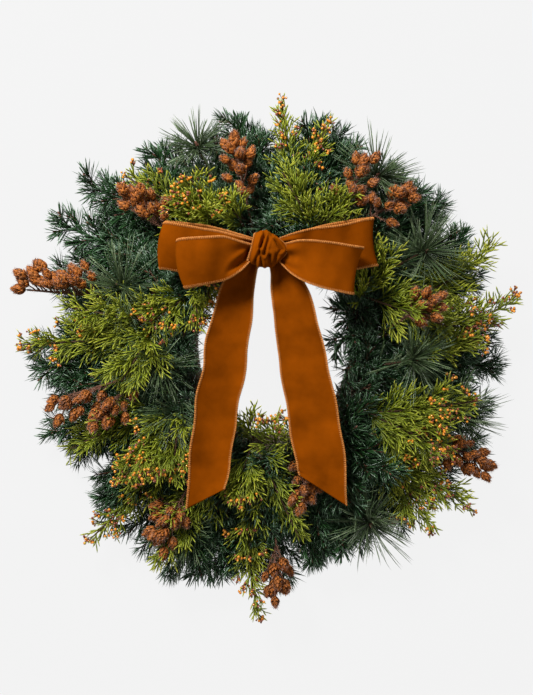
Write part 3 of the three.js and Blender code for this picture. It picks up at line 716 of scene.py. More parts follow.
class Finish:
    """A material and the nodes that make its look."""

    def __init__(self, name, **sockets):
        self.material = bpy.data.materials.new(name)
        self.material.use_nodes = True
        self.tree = self.material.node_tree
        self.shader = self.tree.nodes["Principled BSDF"]
        for label, value in sockets.items():
            self.set(label.replace("_", " "), value)

    def set(self, label, value):
        """Sets one of the shader's sockets to a value, or links it."""
        self._fill(self.shader.inputs[label], value)

    def _fill(self, socket, value):
        if isinstance(value, Shade):
            self.tree.links.new(value.socket, socket)
        else:
            socket.default_value = value

    def node(self, kind, settings=None, inputs=None):
        """A node with its settings made first and then its inputs. Gives its outputs."""
        node = self.tree.nodes.new(kind)
        for key, value in (settings or {}).items():
            if key == "stops":
                self._stops(node.color_ramp, value)
            else:
                setattr(node, key, value)
        for key, value in (inputs or {}).items():
            self._fill(node.inputs[key], value)
        return [Shade(self, socket) for socket in node.outputs]

    def _stops(self, ramp, stops):
        while len(ramp.elements) < len(stops):
            ramp.elements.new(0.5)
        for element, (place, rgb) in zip(ramp.elements, stops):
            element.position = place
            element.color = (*rgb, 1)

    def ramp(self, factor, *stops):
        return self.node("ShaderNodeValToRGB", {"stops": stops}, {0: factor})[0]

    def mix(self, factor, first, second):
        """A colour between two. Plain colours are given as three numbers."""
        first, second = (c if isinstance(c, Shade) else (*c, 1) for c in (first, second))
        return self.node("ShaderNodeMix", {"data_type": "RGBA"}, {0: factor, 6: first, 7: second})[2]

    def noise(self, scale, detail, roughness, stretch=(1, 1, 1)):
        place = self.node("ShaderNodeTexCoord")[3]
        spaced = self.node("ShaderNodeMapping", None, {0: place, 3: stretch})[0]
        inputs = {"Vector": spaced, "Scale": scale, "Detail": detail, "Roughness": roughness}
        return self.node("ShaderNodeTexNoise", None, inputs)[0]

    def bump(self, height, strength, distance):
        inputs = {"Height": height, "Strength": strength, "Distance": distance}
        self.set("Normal", self.node("ShaderNodeBump", None, inputs)[0])

    def grown(self, *stops):
        """Each blade's own colour from the stops, its tint, and how far along it: all by the UV map."""
        place = self.node("ShaderNodeTexCoord")[2]
        x, along, _ = self.node("ShaderNodeSeparateXYZ", None, {0: place})
        tint = (x * BANDS).fraction()
        return self.ramp(tint, *stops), tint, along


def scaled(rgb, share):
    return tuple(min(1.0, c * share) for c in rgb)


def toned(rgb, other, share):
    return tuple(a + (b - a) * share for a, b in zip(rgb, other))


def velvet_finish():
    """Velvet: painted sheen in patches where the pile lies another way, brushed streaks and the fine pile
    over them.
    """
    base = tuple(colours().velvet)
    finish = Finish("velvet", Roughness=0.95, Sheen_Weight=0.12, Sheen_Roughness=0.3)
    finish.set("Sheen Tint", (1.0, 0.4, 0.01, 1))
    finish.set("Specular IOR Level", 0.0)
    # Painted sheen: large patches painted lighter and darker where the pile would catch the light another
    # way.
    pile_sheen_noise = finish.noise(19, 3, 0.6)
    brushed = finish.noise(110, 2, 0.6, (1.0, 0.45, 1.0))
    pile = finish.noise(950, 2, 0.6)
    pile_sheen_patches = finish.ramp(pile_sheen_noise, (0.3, scaled(base, 0.55)), (0.5, base), (0.7, scaled(base, 1.35)))
    streaked = finish.mix(brushed * 0.5, pile_sheen_patches, base)
    finish.set("Base Color", finish.mix(pile * 0.4, streaked, scaled(base, 0.5)))
    finish.bump(pile, 0.35, 0.0004)
    return finish


def thread_finish():
    """Copper thread: each stitch its own tone, with painted shade at both ends where it goes into the
    velvet.
    """
    base = tuple(colours().thread)
    dark, grey, white = (0.2, 0.2, 0.2), (0.25, 0.25, 0.25), (1, 1, 1)
    finish = Finish("copper_thread", Roughness=0.7, Specular_IOR_Level=0.12)
    stops = [(0.0, scaled(base, 0.3)), (0.4, scaled(base, 0.8)), (1.0, scaled(base, 1.25))]
    own, _, along = finish.grown(*stops)
    # Painted shade: each stitch is painted dark at both ends, where it dips into the velvet.
    ends = finish.ramp(along, (0.0, dark), (0.3, white), (0.7, white), (1.0, grey))
    finish.set("Base Color", finish.mix(ends, scaled(base, 0.35), own))
    return finish


def needle_finish(name, base, pale, roughness, gloss):
    """Needles: each its own tint, darker at the foot, and some pale all over as a painted highlight."""
    finish = Finish(name, Roughness=roughness, Specular_IOR_Level=gloss)
    stops = [(0.0, scaled(base, 0.45)), (0.35, base), (0.7, scaled(base, 1.35))]
    # The pale stops at the top of the ramp are a painted highlight.
    stops += [(0.88, toned(base, pale, 0.45)), (1.0, pale)]
    own, _, along = finish.grown(*stops)
    finish.set("Base Color", finish.mix(along, scaled(base, 0.35), own))
    return finish


def fir_finish():
    # The pale colour given here is the painted highlight.
    return needle_finish("fir_needle", tuple(colours().fir), (0.34, 0.52, 0.34), 0.32, 0.65)


def pine_finish():
    # The pale colour given here is the painted highlight.
    return needle_finish("pine_needle", tuple(colours().pine), (0.4, 0.5, 0.28), 0.4, 0.6)


def cedar_finish():
    """Cedar: from old green leaflets to fresh yellow ones, the tips the yellowest."""
    base = tuple(colours().cedar)
    old, fresh = (0.035, 0.1, 0.01), (0.55, 0.55, 0.04)
    old_tip, fresh_tip = (0.28, 0.38, 0.03), (0.74, 0.7, 0.13)
    finish = Finish("cedar_leaflet", Roughness=0.5, Specular_IOR_Level=0.35)
    own, tint, along = finish.grown((0.0, old), (0.3, scaled(base, 0.45)), (0.6, base), (1.0, fresh))
    leaflet = finish.mix(along, scaled(base, 0.25), own)
    tips = finish.mix(tint, old_tip, fresh_tip)
    finish.set("Base Color", finish.mix((along ** 4.0) * 0.75, leaflet, tips))
    return finish


def scale_finish():
    """Papery cone scales, rust to a dusty brown, dark at their feet."""
    base = tuple(colours().cone)
    rust, dusty = (0.66, 0.21, 0.03), (0.46, 0.2, 0.1)
    finish = Finish("cone_scale", Roughness=0.6, Specular_IOR_Level=0.3)
    own, _, along = finish.grown((0.0, scaled(base, 0.45)), (0.35, base), (0.7, rust), (1.0, dusty))
    finish.set("Base Color", finish.mix(along, scaled(base, 0.22), own))
    return finish


def bark_finish():
    """Twigs and stalks, and the redder scales of their buds."""
    base = tuple(colours().bark)
    bud, bud_tip = (0.2, 0.075, 0.045), (0.27, 0.13, 0.1)
    finish = Finish("bark", Roughness=0.85, Specular_IOR_Level=0.2)
    own, _, along = finish.grown((0.0, scaled(base, 0.5)), (0.5, base), (0.8, bud), (1.0, bud_tip))
    finish.set("Base Color", finish.mix(along * 0.5, own, scaled(base, 0.9)))
    return finish


def fuzz_finish():
    """The fine hairs of the cones and their stalks."""
    brown, pink, grey = (0.2, 0.1, 0.07), (0.42, 0.22, 0.16), (0.6, 0.42, 0.33)
    finish = Finish("fuzz", Roughness=0.95, Specular_IOR_Level=0.1)
    own, _, _ = finish.grown((0.0, brown), (0.5, pink), (1.0, grey))
    finish.set("Base Color", own)
    return finish


def berry_finish():
    """Small berries, brown while unripe and orange when ripe, with painted shade on their undersides."""
    base = tuple(colours().berry)
    unripe, turning, full = (0.2, 0.045, 0.03), (0.3, 0.07, 0.03), (0.85, 0.34, 0.03)
    finish = Finish("berry", Roughness=0.32, Coat_Weight=0.25)
    own, _, along = finish.grown((0.0, unripe), (0.4, turning), (0.5, base), (1.0, full))
    # Painted shade: each berry darker towards its underside, by along.
    finish.set("Base Color", finish.mix(along, scaled(base, 0.3), own))
    return finish


def twine_finish():
    """The winding of the ring, some turns darker than others, with painted shade on the twine's underside.
    """
    base = tuple(colours().twine)
    stained = (0.1, 0.07, 0.045)
    finish = Finish("ring_winding", Roughness=0.85, Specular_IOR_Level=0.2)
    stops = [(0.0, scaled(base, 0.3)), (0.5, base), (0.8, scaled(base, 1.5)), (1.0, stained)]
    own, _, along = finish.grown(*stops)
    # along darkens the colour. On the twine it is painted shade, darkest on its underside and outer side
    # and lightest at its top inner edge. On the bundle under the twine, the ring grows darker towards its
    # right side.
    finish.set("Base Color", finish.mix(along * 0.5, own, scaled(base, 0.55)))
    return finish


def wire_finish():
    """Florist's wire with its thin green coat."""
    finish = Finish("tie_wire", Metallic=0.6, Roughness=0.45)
    coat = finish.noise(500, 2, 0.6)
    finish.set("Base Color", finish.mix(coat, (0.03, 0.045, 0.03), (0.09, 0.1, 0.075)))
    return finish


FINISHES = {
    "velvet": velvet_finish,
    "copper_thread": thread_finish,
    "fir_needle": fir_finish,
    "pine_needle": pine_finish,
    "cedar_leaflet": cedar_finish,
    "cone_scale": scale_finish,
    "bark": bark_finish,
    "fuzz": fuzz_finish,
    "berry": berry_finish,
    "ring_winding": twine_finish,
    "tie_wire": wire_finish,
}


def finish_named(name):
    found = bpy.data.materials.get(name)
    return found or FINISHES[name]().material


# ---- The wound ring ----
def ring_profile(places, inset):
    """Points round the ring's section, set in from its surface: across the ring and up."""
    half_wide = (RING_OUTER - RING_INNER) / 2
    corners = [(half_wide - RING_EDGE, 0), (half_wide, RING_EDGE), (half_wide, RING_HEIGHT - RING_EDGE)]
    corners += [(half_wide - RING_EDGE, RING_HEIGHT)]
    corners += [(-x, z) for x, z in reversed(corners)]
    corners = np.array(corners + corners[:1], float)
    middle = np.array([0.0, RING_HEIGHT / 2])
    steps = np.linalg.norm(np.diff(corners, axis=0), axis=1)
    length = np.concatenate([[0], np.cumsum(steps)]) / steps.sum()
    places = np.mod(places, 1)
    point = np.stack([np.interp(places, length, corners[:, k]) for k in (0, 1)], axis=-1) - middle
    share = 1 - inset / np.minimum(half_wide, RING_HEIGHT / 2)
    return point * share + middle


def over_ring(across, z, angle):
    """Points of the ring's section, swept round the ring."""
    radius = (RING_INNER + RING_OUTER) / 2 + across
    flat = np.stack([np.cos(angle), np.sin(angle)], axis=-1) * radius[..., None] * RING_OVAL + RING_CENTRE
    return np.concatenate([flat, z[..., None]], axis=-1)


def grid_faces(rows, columns):
    """Triangles of a grid that closes on itself both ways."""
    i, j = np.meshgrid(np.arange(rows), np.arange(columns), indexing="ij")
    a = i * columns + j
    b = i * columns + (j + 1) % columns
    c = (i + 1) % rows * columns + (j + 1) % columns
    d = (i + 1) % rows * columns + j
    return np.concatenate([np.stack([a, b, c], -1).reshape(-1, 3), np.stack([a, c, d], -1).reshape(-1, 3)])


def ring_core(growth):
    """The bundle under the twine, a little smaller than the ring."""
    rows, columns = CORE_GRID
    angle = np.linspace(0, TURN, rows, endpoint=False)[:, None]
    around = np.arange(columns) / columns
    core = ring_profile(np.tile(around, (rows, 1)), CORE_INSET)
    points = over_ring(core[..., 0], core[..., 1], np.tile(angle, (1, columns)))
    tint = np.tile(0.1 + 0.1 * around, (rows, 1)).reshape(1, -1)
    along = np.tile(np.abs(2 * angle / TURN - 1), (1, columns)).reshape(1, -1)
    growth.add(points.reshape(1, -1, 3), grid_faces(rows, columns)[:, ::-1], tint, along, "ring_winding")


def ring_twine(growth, random):
    """One long strand wound round the ring's section, and on round the ring."""
    turns, sides = TWINE_TURNS, TWINE_SIDES
    whole = np.arange(turns + 1)
    t = np.arange(turns * TWINE_STEPS) / (turns * TWINE_STEPS)
    place = t * turns
    slack = np.interp(place, whole, np.append(random.uniform(-0.34, 0.34, turns), 0))
    slack = np.where(t > 1 - 1 / turns, 0, slack) * np.minimum(1, place)
    radius = 1.55 + 0.32 * np.sin(t * TURN * 37) + 0.22 * np.sin(t * TURN * 91)
    section = ring_profile(place, radius[:, None] + 0.1)
    path = over_ring(section[:, 0], section[:, 1], (t + slack / turns) * TURN)
    tint = np.interp(place, whole, random.uniform(0.15, 0.85, turns + 1))
    # along runs round the twine's section; the finish paints shade with it, darkest at the section's lower
    # outer corner.
    along = np.abs(2 * np.mod(place, 1) - 1)
    way = unit(np.roll(path, -1, 0) - np.roll(path, 1, 0))
    out = unit(np.cross(way, np.cross(UP, way) + 1e-3))
    other = np.cross(way, out)
    a = np.arange(sides) / sides * TURN
    rim = out[:, None] * np.cos(a)[None, :, None] + other[:, None] * np.sin(a)[None, :, None]
    points = (path[:, None] + rim * radius[:, None, None]).reshape(1, -1, 3)
    tint = (tint[:, None] + 0.03 * np.cos(a)[None]).reshape(1, -1)
    faces = grid_faces(len(path), sides)
    growth.add(points, faces, tint, np.repeat(along, sides)[None], "ring_winding")


def wound_ring():
    growth = Growth("ring_winding")
    ring_core(growth)
    ring_twine(growth, np.random.default_rng(SEEDS["ring"]))
    piece = growth.object("wound_ring_twine", "wound_ring")
    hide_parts("wound_ring")


# ---- Where the foliage may be ----
def reach_at(angle):
    """How far the foliage reaches from the ring's centre, before the ring's oval is applied."""
    hour = np.mod(0.25 - angle / TURN, 1) * len(REACH)
    return np.interp(hour, np.arange(len(REACH) + 1), REACH + REACH[:1])


@functools.lru_cache
def bow_underside():
    """The lowest height of the ribbon over each cell of a grid, for what has to lie under it."""
    heights = np.full(BOW_CELLS, OPEN_HEIGHT)
    for number, name in enumerate(BOW):
        surface, _ = ribbon_surface(name, SEEDS["ribbon"] + number)
        cells = ((surface[..., :2] - BOW_CORNER) / BOW_CELL).astype(int)
        np.minimum.at(heights, (cells[..., 0].ravel(), cells[..., 1].ravel()), surface[..., 2].ravel())
    wide = heights.copy()
    for dx in (-1, 0, 1):
        for dy in (-1, 0, 1):
            wide = np.minimum(wide, np.roll(heights, (dx, dy), (0, 1)))
    return wide


def press_down(points):
    """Lays foliage under the ribbon where the two would meet."""
    heights = bow_underside()
    cells = ((points[:, :2] - BOW_CORNER) / BOW_CELL).astype(int)
    inside = np.all((cells >= 0) & (cells < heights.shape), axis=1)
    limit = np.full(len(points), OPEN_HEIGHT)
    limit[inside] = heights[cells[inside, 0], cells[inside, 1]] - BOW_CLEARANCE
    points[:, 2] = np.minimum(points[:, 2], limit)


# ---- Fir ----
def fir_twigs(arms, pitch, longest, random):
    """The twigs of fir stems, and the smaller twigs of those."""
    host, _, t, place = along_lines(arms, pitch, 0.1, 0.95, random)
    n = len(t)
    length = (longest * (1.05 - 0.72 * t) * random.uniform(0.8, 1.1, n))[:, None]
    turn = by_turns(place, 0.45, random)
    way = leaning(host.way(t), random.uniform(0.6, 0.88, n), turn)
    twigs = Lines(host.at(t), way * length, host.way(t) * length * 0.16 + UP * 2.0)
    host, _, t, place = along_lines(twigs, SIDE_TWIG_PITCH, 0.3, 0.8, random)
    n = len(t)
    size = (host.length() * random.uniform(0.32, 0.5, n) * (1.1 - 0.5 * t))[:, None]
    turn = by_turns(place, 0.5, random)
    way = leaning(host.way(t), random.uniform(0.55, 0.85, n), turn)
    return twigs, Lines(host.at(t), way * size, host.way(t) * size * 0.12)


def fir_needles(growth, shoots, tone, fine, random):
    """Flat needles that lie forward, some of them pale as a painted highlight."""
    sizes = foliage_sizes()
    host, which, t, _ = along_lines(shoots, sizes.fir_pitch / MM, 0.04, 1.0, random)
    n = len(t)
    lean = (1.0 - 0.4 * t ** 2) * random.uniform(0.8, 1.15, n)
    out = leaning(host.way(t), lean, random.uniform(-0.8, math.pi + 0.8, n))
    size = sizes.fir_needle / MM * random.uniform(0.72, 1.1, n) * np.clip(1.3 - 0.68 * t, 0, 1)
    size = size[:, None]
    curl = host.way(t) * 0.16 + UP * 0.04 + random.normal(0, 0.045, (n, 3))
    needles = Lines(host.at(t) - out * 0.2, out * size, curl * size)
    flat = np.cross(host.way(t), out) + random.normal(0, 0.3, (n, 3))
    shared = random.uniform(-0.2, 0.2, len(shoots))[which]
    tint = np.clip(0.38 + tone + 0.2 * random.normal(size=n) + shared, 0, 0.84)
    # pale picks the needles that get the painted highlight, more of them on the lighter shoots.
    pale = random.uniform(size=n) < 0.18 + 0.5 * shared
    tint = np.where(pale, random.uniform(0.86, 1, n), tint)
    profile, sides = (FIR_NEEDLE, 4) if fine else (FILLING_NEEDLE, 3)
    growth.blades("fir_needle", needles, flat, random.uniform(0.9, 1.2, n), 0.4, tint, profile, sides)


def fir_buds(growth, twigs, shoots, random):
    """Red-brown bud scales along the twigs, and a bud at the end of every shoot."""
    host, _, t, _ = along_lines(twigs, BUD_SCALE_PITCH, 0.1, 0.98, random)
    n = len(t)
    out = leaning(host.way(t), random.uniform(0.5, 1.2, n), random.uniform(0.5, math.pi - 0.5, n))
    scales = Lines(host.at(t), out * random.uniform(2.4, 4.2, n)[:, None])
    growth.blades("bark", scales, np.cross(out, UP) + 0.01, 0.8, 0.55, random.uniform(0.78, 1, n), BUD)
    way = shoots.tip_way()
    ends = Lines(shoots.tip() - way, way * 5)
    tint = random.uniform(0.75, 1, len(ends))
    growth.blades("bark", ends, np.cross(way, UP) + 0.01, 1.5, 1.5, tint, BUD, 6)


def fir_shoots(growth, arms, pitch, longest, tone, fine, random):
    """Fir twigs along stems, with their needles and, where they are fine, their buds."""
    twigs, small = fir_twigs(arms, pitch, longest, random)
    growth.stems("bark", arms, 2.4, 1.3, 0.35)
    growth.stems("bark", twigs, 1.3, 0.8, random.uniform(0.4, 0.8, len(twigs)), 5, 5)
    growth.stems("bark", small, 1.0, 0.7, random.uniform(0.5, 0.95, len(small)), 4, 3)
    shoots = joined(arms, twigs, small)
    fir_needles(growth, shoots, tone, fine, random)
    if fine:
        fir_buds(growth, joined(twigs, small), shoots, random)


def fir_spray(name, layer, angle, tips, random):
    growth = Growth("fir_needle", "bark")
    arms = arms_of(name, layer, angle, tips)
    longest = 56 * FULLNESS.get(name, 1.0)
    fir_shoots(growth, arms, FIR_TWIG_PITCH, longest, random.uniform(-0.1, 0.12), True, random)
    return growth


# ---- Pine ----
def pine_needles(growth, arms, full, random):
    """Bundles of three long needles: a star of them round the tip, and fewer beside the stem."""
    sizes = foliage_sizes()
    crown = sizes.pine_needles
    below = crown // 3
    n = crown + below
    in_crown = np.arange(n) < crown
    t = np.append(1 - 0.1 * random.uniform(0, 1, crown) ** 2, random.uniform(0.3, 0.9, below))
    host = arms.pick(np.zeros(n, int))
    heading = random.uniform(0, TURN, n)
    rise = np.arcsin(random.uniform(-0.3, 0.97, n))
    star = np.stack([np.cos(heading) * np.cos(rise), np.sin(heading) * np.cos(rise), np.sin(rise)], axis=-1)
    star = unit(star + host.way(t) * 0.35)
    beside = leaning(host.way(t), random.uniform(0.7, 1.15, n), random.uniform(0, TURN, n))
    out = np.where(in_crown[:, None], star, beside)
    size = sizes.pine_needle / MM * random.uniform(0.72, 1.08, n) * full
    size = (size * np.where(out[:, 2] < -0.1, 0.6, 1) * np.where(in_crown, 1, 0.8))[:, None]
    curl = (random.normal(0, 0.07, (n, 3)) - UP * 0.06) * size
    bundles = []
    for spread in (0.0, 0.08, 0.11):
        apart = unit(out + random.normal(0, spread + 1e-6, (n, 3)))
        bundles.append(Lines(host.at(t), apart * size * (1 - spread / 2), curl))
    needles = joined(*bundles)
    n = len(needles)
    tint = np.clip(0.5 + 0.22 * random.normal(size=n), 0, 0.82)
    # pale picks the needles that get the painted highlight.
    pale = random.uniform(size=n) < 0.27
    tint = np.where(pale, random.uniform(0.86, 1, n), tint)
    flat = np.cross(needles.run, random.normal(size=(n, 3)))
    width = random.uniform(0.58, 0.72, n)
    growth.blades("pine_needle", needles, flat, width, 0.44, tint, PINE_NEEDLE, 3)


def pine_buds(growth, arms, random):
    """The large bud at the tip of each stem, in a collar of scales."""
    tip = arms.tip()
    way = unit(arms.tip_way() + UP * 0.8)
    growth.blades("bark", Lines(tip - way, way * 10), np.cross(way, [1, 0, 0]), 2.8, 2.8, 0.97, BUD, 8)
    way, tip = np.repeat(way, COLLAR_SCALES, 0), np.repeat(tip, COLLAR_SCALES, 0)
    n = len(tip)
    out = leaning(way, random.uniform(0.5, 1.3, n), random.uniform(0, TURN, n))
    scales = Lines(tip + out, out * 4.5)
    growth.blades("bark", scales, np.cross(out, UP) + 0.01, 0.8, 0.6, random.uniform(0.85, 1, n), BUD)


def pine_spray(name, layer, angle, tips, random):
    growth = Growth("pine_needle", "bark")
    arms = arms_of(name, layer, angle, tips)
    growth.stems("bark", arms, 1.8, 1.4, 0.3)
    pine_needles(growth, arms, FULLNESS.get(name, 1.0), random)
    pine_buds(growth, arms, random)
    return growth


# ---- Cedar ----
def berry_groups(growth, twigs, random):
    """Berries in small groups on short stalks at the ends of twigs."""
    radius = foliage_sizes().berry / MM / 2
    counts = random.integers(3, 8, len(twigs))
    which = np.repeat(np.arange(len(twigs)), counts)
    end, way = twigs.tip()[which], twigs.tip_way()[which]
    n = len(which)
    out = leaning(way, random.uniform(0.1, 1.3, n), random.uniform(0, TURN, n))
    out[:, 2] = np.abs(out[:, 2]) * 0.9
    out = unit(out)
    size = random.uniform(2.5, 9, n)
    stalks = Lines(end - way * 2, out * size[:, None], UP * 0.5)
    growth.stems("bark", stalks, 0.45, 0.38, random.uniform(0.6, 1, n), 4, 3)
    ripe = random.uniform(size=n) < 0.5
    tint = np.where(ripe, random.uniform(0.55, 1, n), random.uniform(0, 0.4, n))
    size = radius * random.uniform(0.8, 1.2, n) * np.where(ripe, 1, 0.85)
    growth.balls("berry", stalks.tip() + out * size[:, None] * 0.6, size, tint)


def flat_fan(host, t, place, size, lean, forward, rise, random):
    """Shoots to the right and left of their hosts, which bend forward and a little up or down."""
    turn = by_turns(place, 0.6, random)
    way = leaning(host.way(t), random.uniform(*lean, len(t)), turn)
    curl = host.way(t) * forward + UP * random.uniform(*rise, len(t))[:, None]
    return host.shoots(t, way, size, curl), way


def cedar_branches(arms, full, random):
    """The branches of cedar stems, and where on its stem each is."""
    host, _, t, place = along_lines(arms, CEDAR_BRANCH_PITCH, 0.08, 0.96, random)
    n = len(t)
    length = CEDAR_BRANCH * full * np.interp(t, [0, 0.12, 0.35, 0.72, 0.96], [0.6, 0.95, 1, 0.66, 0.2])
    length = length * random.uniform(0.7, 1.12, n)
    turn = by_turns(place, 0.5, random)
    above = random.uniform(size=n) < 0.2
    turn = np.where(above, math.pi / 2 + random.normal(0, 0.5, n), turn)
    way = leaning(host.way(t), random.uniform(0.45, 0.85, n), turn)
    curl = host.way(t) * 0.22 + UP * random.uniform(-0.16, 0.34, n)[:, None]
    return host.shoots(t, way, length, curl), t


def cedar_leaflets(growth, twigs, twig_t, outward, fresh, random):
    """Leaflets on both sides of each twig, yellower towards its tip and towards the spray's."""
    host, which, t, place = along_lines(twigs, LEAFLET_PITCH, 0.1, 1.0, random)
    n = len(t)
    outward = outward[which]
    size = foliage_sizes().leaflet / MM * random.uniform(0.7, 1.15, n)
    size = size * (1.15 - 0.4 * t) * (1.1 - 0.45 * outward)
    leaflets, way = flat_fan(host, t, place, size, (0.28, 0.62), 0.28, (-0.1, 0.25), random)
    tint = 0.14 + 0.3 * t + 0.24 * twig_t[which] + 0.2 * outward
    tint = tint + 0.13 * random.normal(size=n) + fresh[which]
    flat = np.cross(np.cross(host.way(t), way) + 1e-3, way)
    width = random.uniform(0.9, 1.15, n)
    growth.blades("cedar_leaflet", leaflets, flat, width, 0.6, np.clip(tint, 0, 1), LEAFLET)


def cedar_twigs(growth, arms, full, berried, random):
    """Flat fans of leaflets along stems, with berries at the ends of some twigs."""
    growth.stems("bark", arms, 1.9, 0.9, 0.3, 6, 9)
    branches, branch_t = cedar_branches(arms, full, random)
    n = len(branches)
    growth.stems("cedar_leaflet", branches, 0.95, 0.6, random.uniform(0.05, 0.35, n), 4, 4)
    host, which, t, place = along_lines(joined(branches, arms), CEDAR_TWIG_PITCH, 0.14, 0.98, random)
    outward = np.where(which >= n, t, np.append(branch_t, np.zeros(len(arms)))[which])
    size = np.clip(CEDAR_TWIG * (1.05 - 0.58 * t), 11, CEDAR_TWIG)
    size = size * random.uniform(0.75, 1.1, len(t)) * (1.12 - 0.62 * outward)
    twigs, _ = flat_fan(host, t, place, size, (0.38, 0.72), 0.26, (-0.12, 0.3), random)
    fresh = random.uniform(-0.2, 0.2, n + len(arms))[which] + random.uniform(-0.08, 0.14)
    growth.stems("cedar_leaflet", twigs, 0.85, 0.62, np.clip(0.4 + fresh, 0, 1), 4, 3)
    cedar_leaflets(growth, twigs, t, outward, fresh, random)
    if berried:
        outer = (outward > 0.25) & (t > 0.45) & (random.uniform(size=len(t)) < 0.42)
        berry_groups(growth, joined(twigs.pick(outer), arms), random)


def cedar_spray(name, layer, angle, tips, random):
    growth = Growth("cedar_leaflet", "bark", "berry")
    arms = arms_of(name, layer, angle, tips)
    cedar_twigs(growth, arms, FULLNESS.get(name, 1.0), name in BERRIED, random)
    return growth


def cedar_filling():
    """Berried cedar twigs between the sprays, at the left of the hole, over the bow and at the edge."""
    random = np.random.default_rng(SEEDS["cedar filling"])
    growth = Growth("cedar_leaflet", "bark", "berry")
    arms = joined(*(arch(root, tip, 10 * UP) for root, tip in CEDAR_TWIGS))
    cedar_twigs(growth, arms, 0.62, True, random)
    growth.object("cedar_filling", "cedar")


# ---- Cones ----
def fuzz(growth, host, t, out, depth, random, size=(2.2, 4.6)):
    """Fine greyish hairs on a stem or a cone."""
    n = len(t)
    size = random.uniform(*size, n)[:, None]
    hairs = Lines(host.at(t) + out * depth[:, None], out * size, random.normal(0, 0.3, (n, 3)) * size)
    across = np.cross(out, random.normal(size=(n, 3)))
    growth.blades("fuzz", hairs, across, 0.17, 0.17, random.uniform(0, 1, n), HAIR, 3)


def cone_width(s):
    return np.interp(s, CONE_PLACES, CONE_WIDTHS)


def one_cone(growth, base, way, length, radius, random):
    """A papery cone: ragged scales that overlap in a spiral over a bud, and fine hairs."""
    axis = Lines(base, way * length)
    body = [(s, cone_width(s)) for s in CONE_PLACES[:-1]]
    side = np.cross(way, UP + 0.01)
    growth.blades("cone_scale", axis, side[None], radius * 0.84, radius * 0.84, 0.05, body, 8)
    n = foliage_sizes().scales
    s = (np.arange(n) + 0.5) / n * 0.88
    turn = np.arange(n) * GOLDEN + random.uniform(0, TURN)
    host = axis.pick(np.zeros(n, int))
    radial = leaning(host.way(s), np.full(n, math.pi / 2), turn)
    full = radius * cone_width(s)
    slope = radius * (cone_width(s + 0.12) - cone_width(s)) / (0.12 * length)
    out = unit(host.way(s) + radial * (slope + random.uniform(0.05, 0.6, n))[:, None])
    start = host.at(s) + radial * full[:, None] * 0.76
    size = (length * random.uniform(0.4, 0.62, n) * (1 - 0.35 * s))[:, None]
    curl = (-radial * 0.2 + random.normal(0, 0.05, (n, 3))) * size
    across = np.cross(host.way(s), radial) + random.normal(0, 0.14, (n, 3))
    tint = np.clip(0.5 + 0.2 * random.normal(size=n) + random.uniform(-0.2, 0.2), 0, 1)
    scales = Lines(start, out * size, curl)
    growth.blades("cone_scale", scales, across, full * 0.52 + 0.7, 0.3, tint, CONE_SCALE)
    s = random.uniform(0.0, 1, CONE_HAIRS)
    host = axis.pick(np.zeros(CONE_HAIRS, int))
    lean, turn = random.uniform(0.4, 1.4, CONE_HAIRS), random.uniform(0, TURN, CONE_HAIRS)
    out = leaning(host.way(s), lean, turn)
    fuzz(growth, host, s, out, radius * cone_width(s) * 0.85, random, (2.0, 4.4))


def cone_cluster(growth, arm, back, aside, count, random):
    """The cones of one stem on their stalks, and the hairs of the stem and the stalks."""
    first = max(0.3, 1 - back / arm.length()[0])
    t = np.append(np.linspace(first, 0.93, count - 1), 1.0)
    turn = np.arange(count) * GOLDEN * 1.03 + random.uniform(0, TURN)
    host = arm.pick(np.zeros(count, int))
    lean = np.append(np.linspace(1.15, 0.6, count - 1), 0.0) * random.uniform(0.85, 1.15, count)
    way = leaning(host.way(t), lean, turn)
    way[:, 2] = np.abs(way[:, 2]) * 0.8 + way[:, 2] * 0.2
    way = unit(way + np.array(aside) * (lean > 0.1)[:, None])
    stalk = np.append(random.uniform(7, 24, count - 1) * (1 + 0.5 * np.linalg.norm(aside)), 1.0)[:, None]
    stalks = Lines(host.at(t), way * stalk, host.way(t) * stalk * 0.15)
    growth.stems("bark", stalks, 1.0, 0.8, random.uniform(0.5, 0.9, count), 5, 4)
    ends, headings = stalks.tip(), stalks.tip_way()
    for k in range(count):
        length = foliage_sizes().cone / MM * random.uniform(0.82, 1.15)
        radius = length * random.uniform(0.35, 0.41)
        one_cone(growth, ends[k] - 2 * way[k], headings[k], length, radius, random)
    for twigs, foot, n in ((arm, first * 0.8, STEM_HAIRS), (stalks, 0, STALK_HAIRS * count)):
        host = twigs.pick(random.integers(0, len(twigs), n))
        s = random.uniform(foot, 1, n)
        out = leaning(host.way(s), random.uniform(0.8, 1.5, n), random.uniform(0, TURN, n))
        fuzz(growth, host, s, out, np.full(n, 0.5), random)


def cone_spray(name, layer, angle, tips, random):
    growth = Growth("cone_scale", "bark", "fuzz")
    arms = arms_of(name, layer, angle, tips)
    growth.stems("bark", arms, 2.0, 1.3, 0.6)
    back, aside, most = CLUSTERS.get(name, (*LOOSE_CLUSTER, foliage_sizes().cones))
    for index in range(len(arms)):
        cone_cluster(growth, arms.pick([index]), back, aside, round(most / len(arms) ** 0.5), random)
    return growth


def make_sprays(kind, sprays, grow):
    """Grows each spray of a kind and puts it in the place of its solid."""
    for number, (layer, angle, tips) in enumerate(sprays):
        name = f"{kind}_spray_{number + 1:02d}"
        growth = grow(name, layer, angle, tips, np.random.default_rng(SEEDS[kind] + number))
        piece = growth.object(f"{name}_grown", kind)
        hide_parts(name)


# ---- The fir between the sprays ----
def low_stem(a, sway, share, foot, height, random):
    """Where a stem at the ring's side starts and ends. share is of the foliage's reach there."""
    turned = a + random.uniform(-sway, sway)
    far = reach_at(turned) * random.uniform(*share)
    root = on_ring(random.uniform(140, 152), a, random.uniform(*foot))
    return root, on_ring(far, turned, random.uniform(*height))


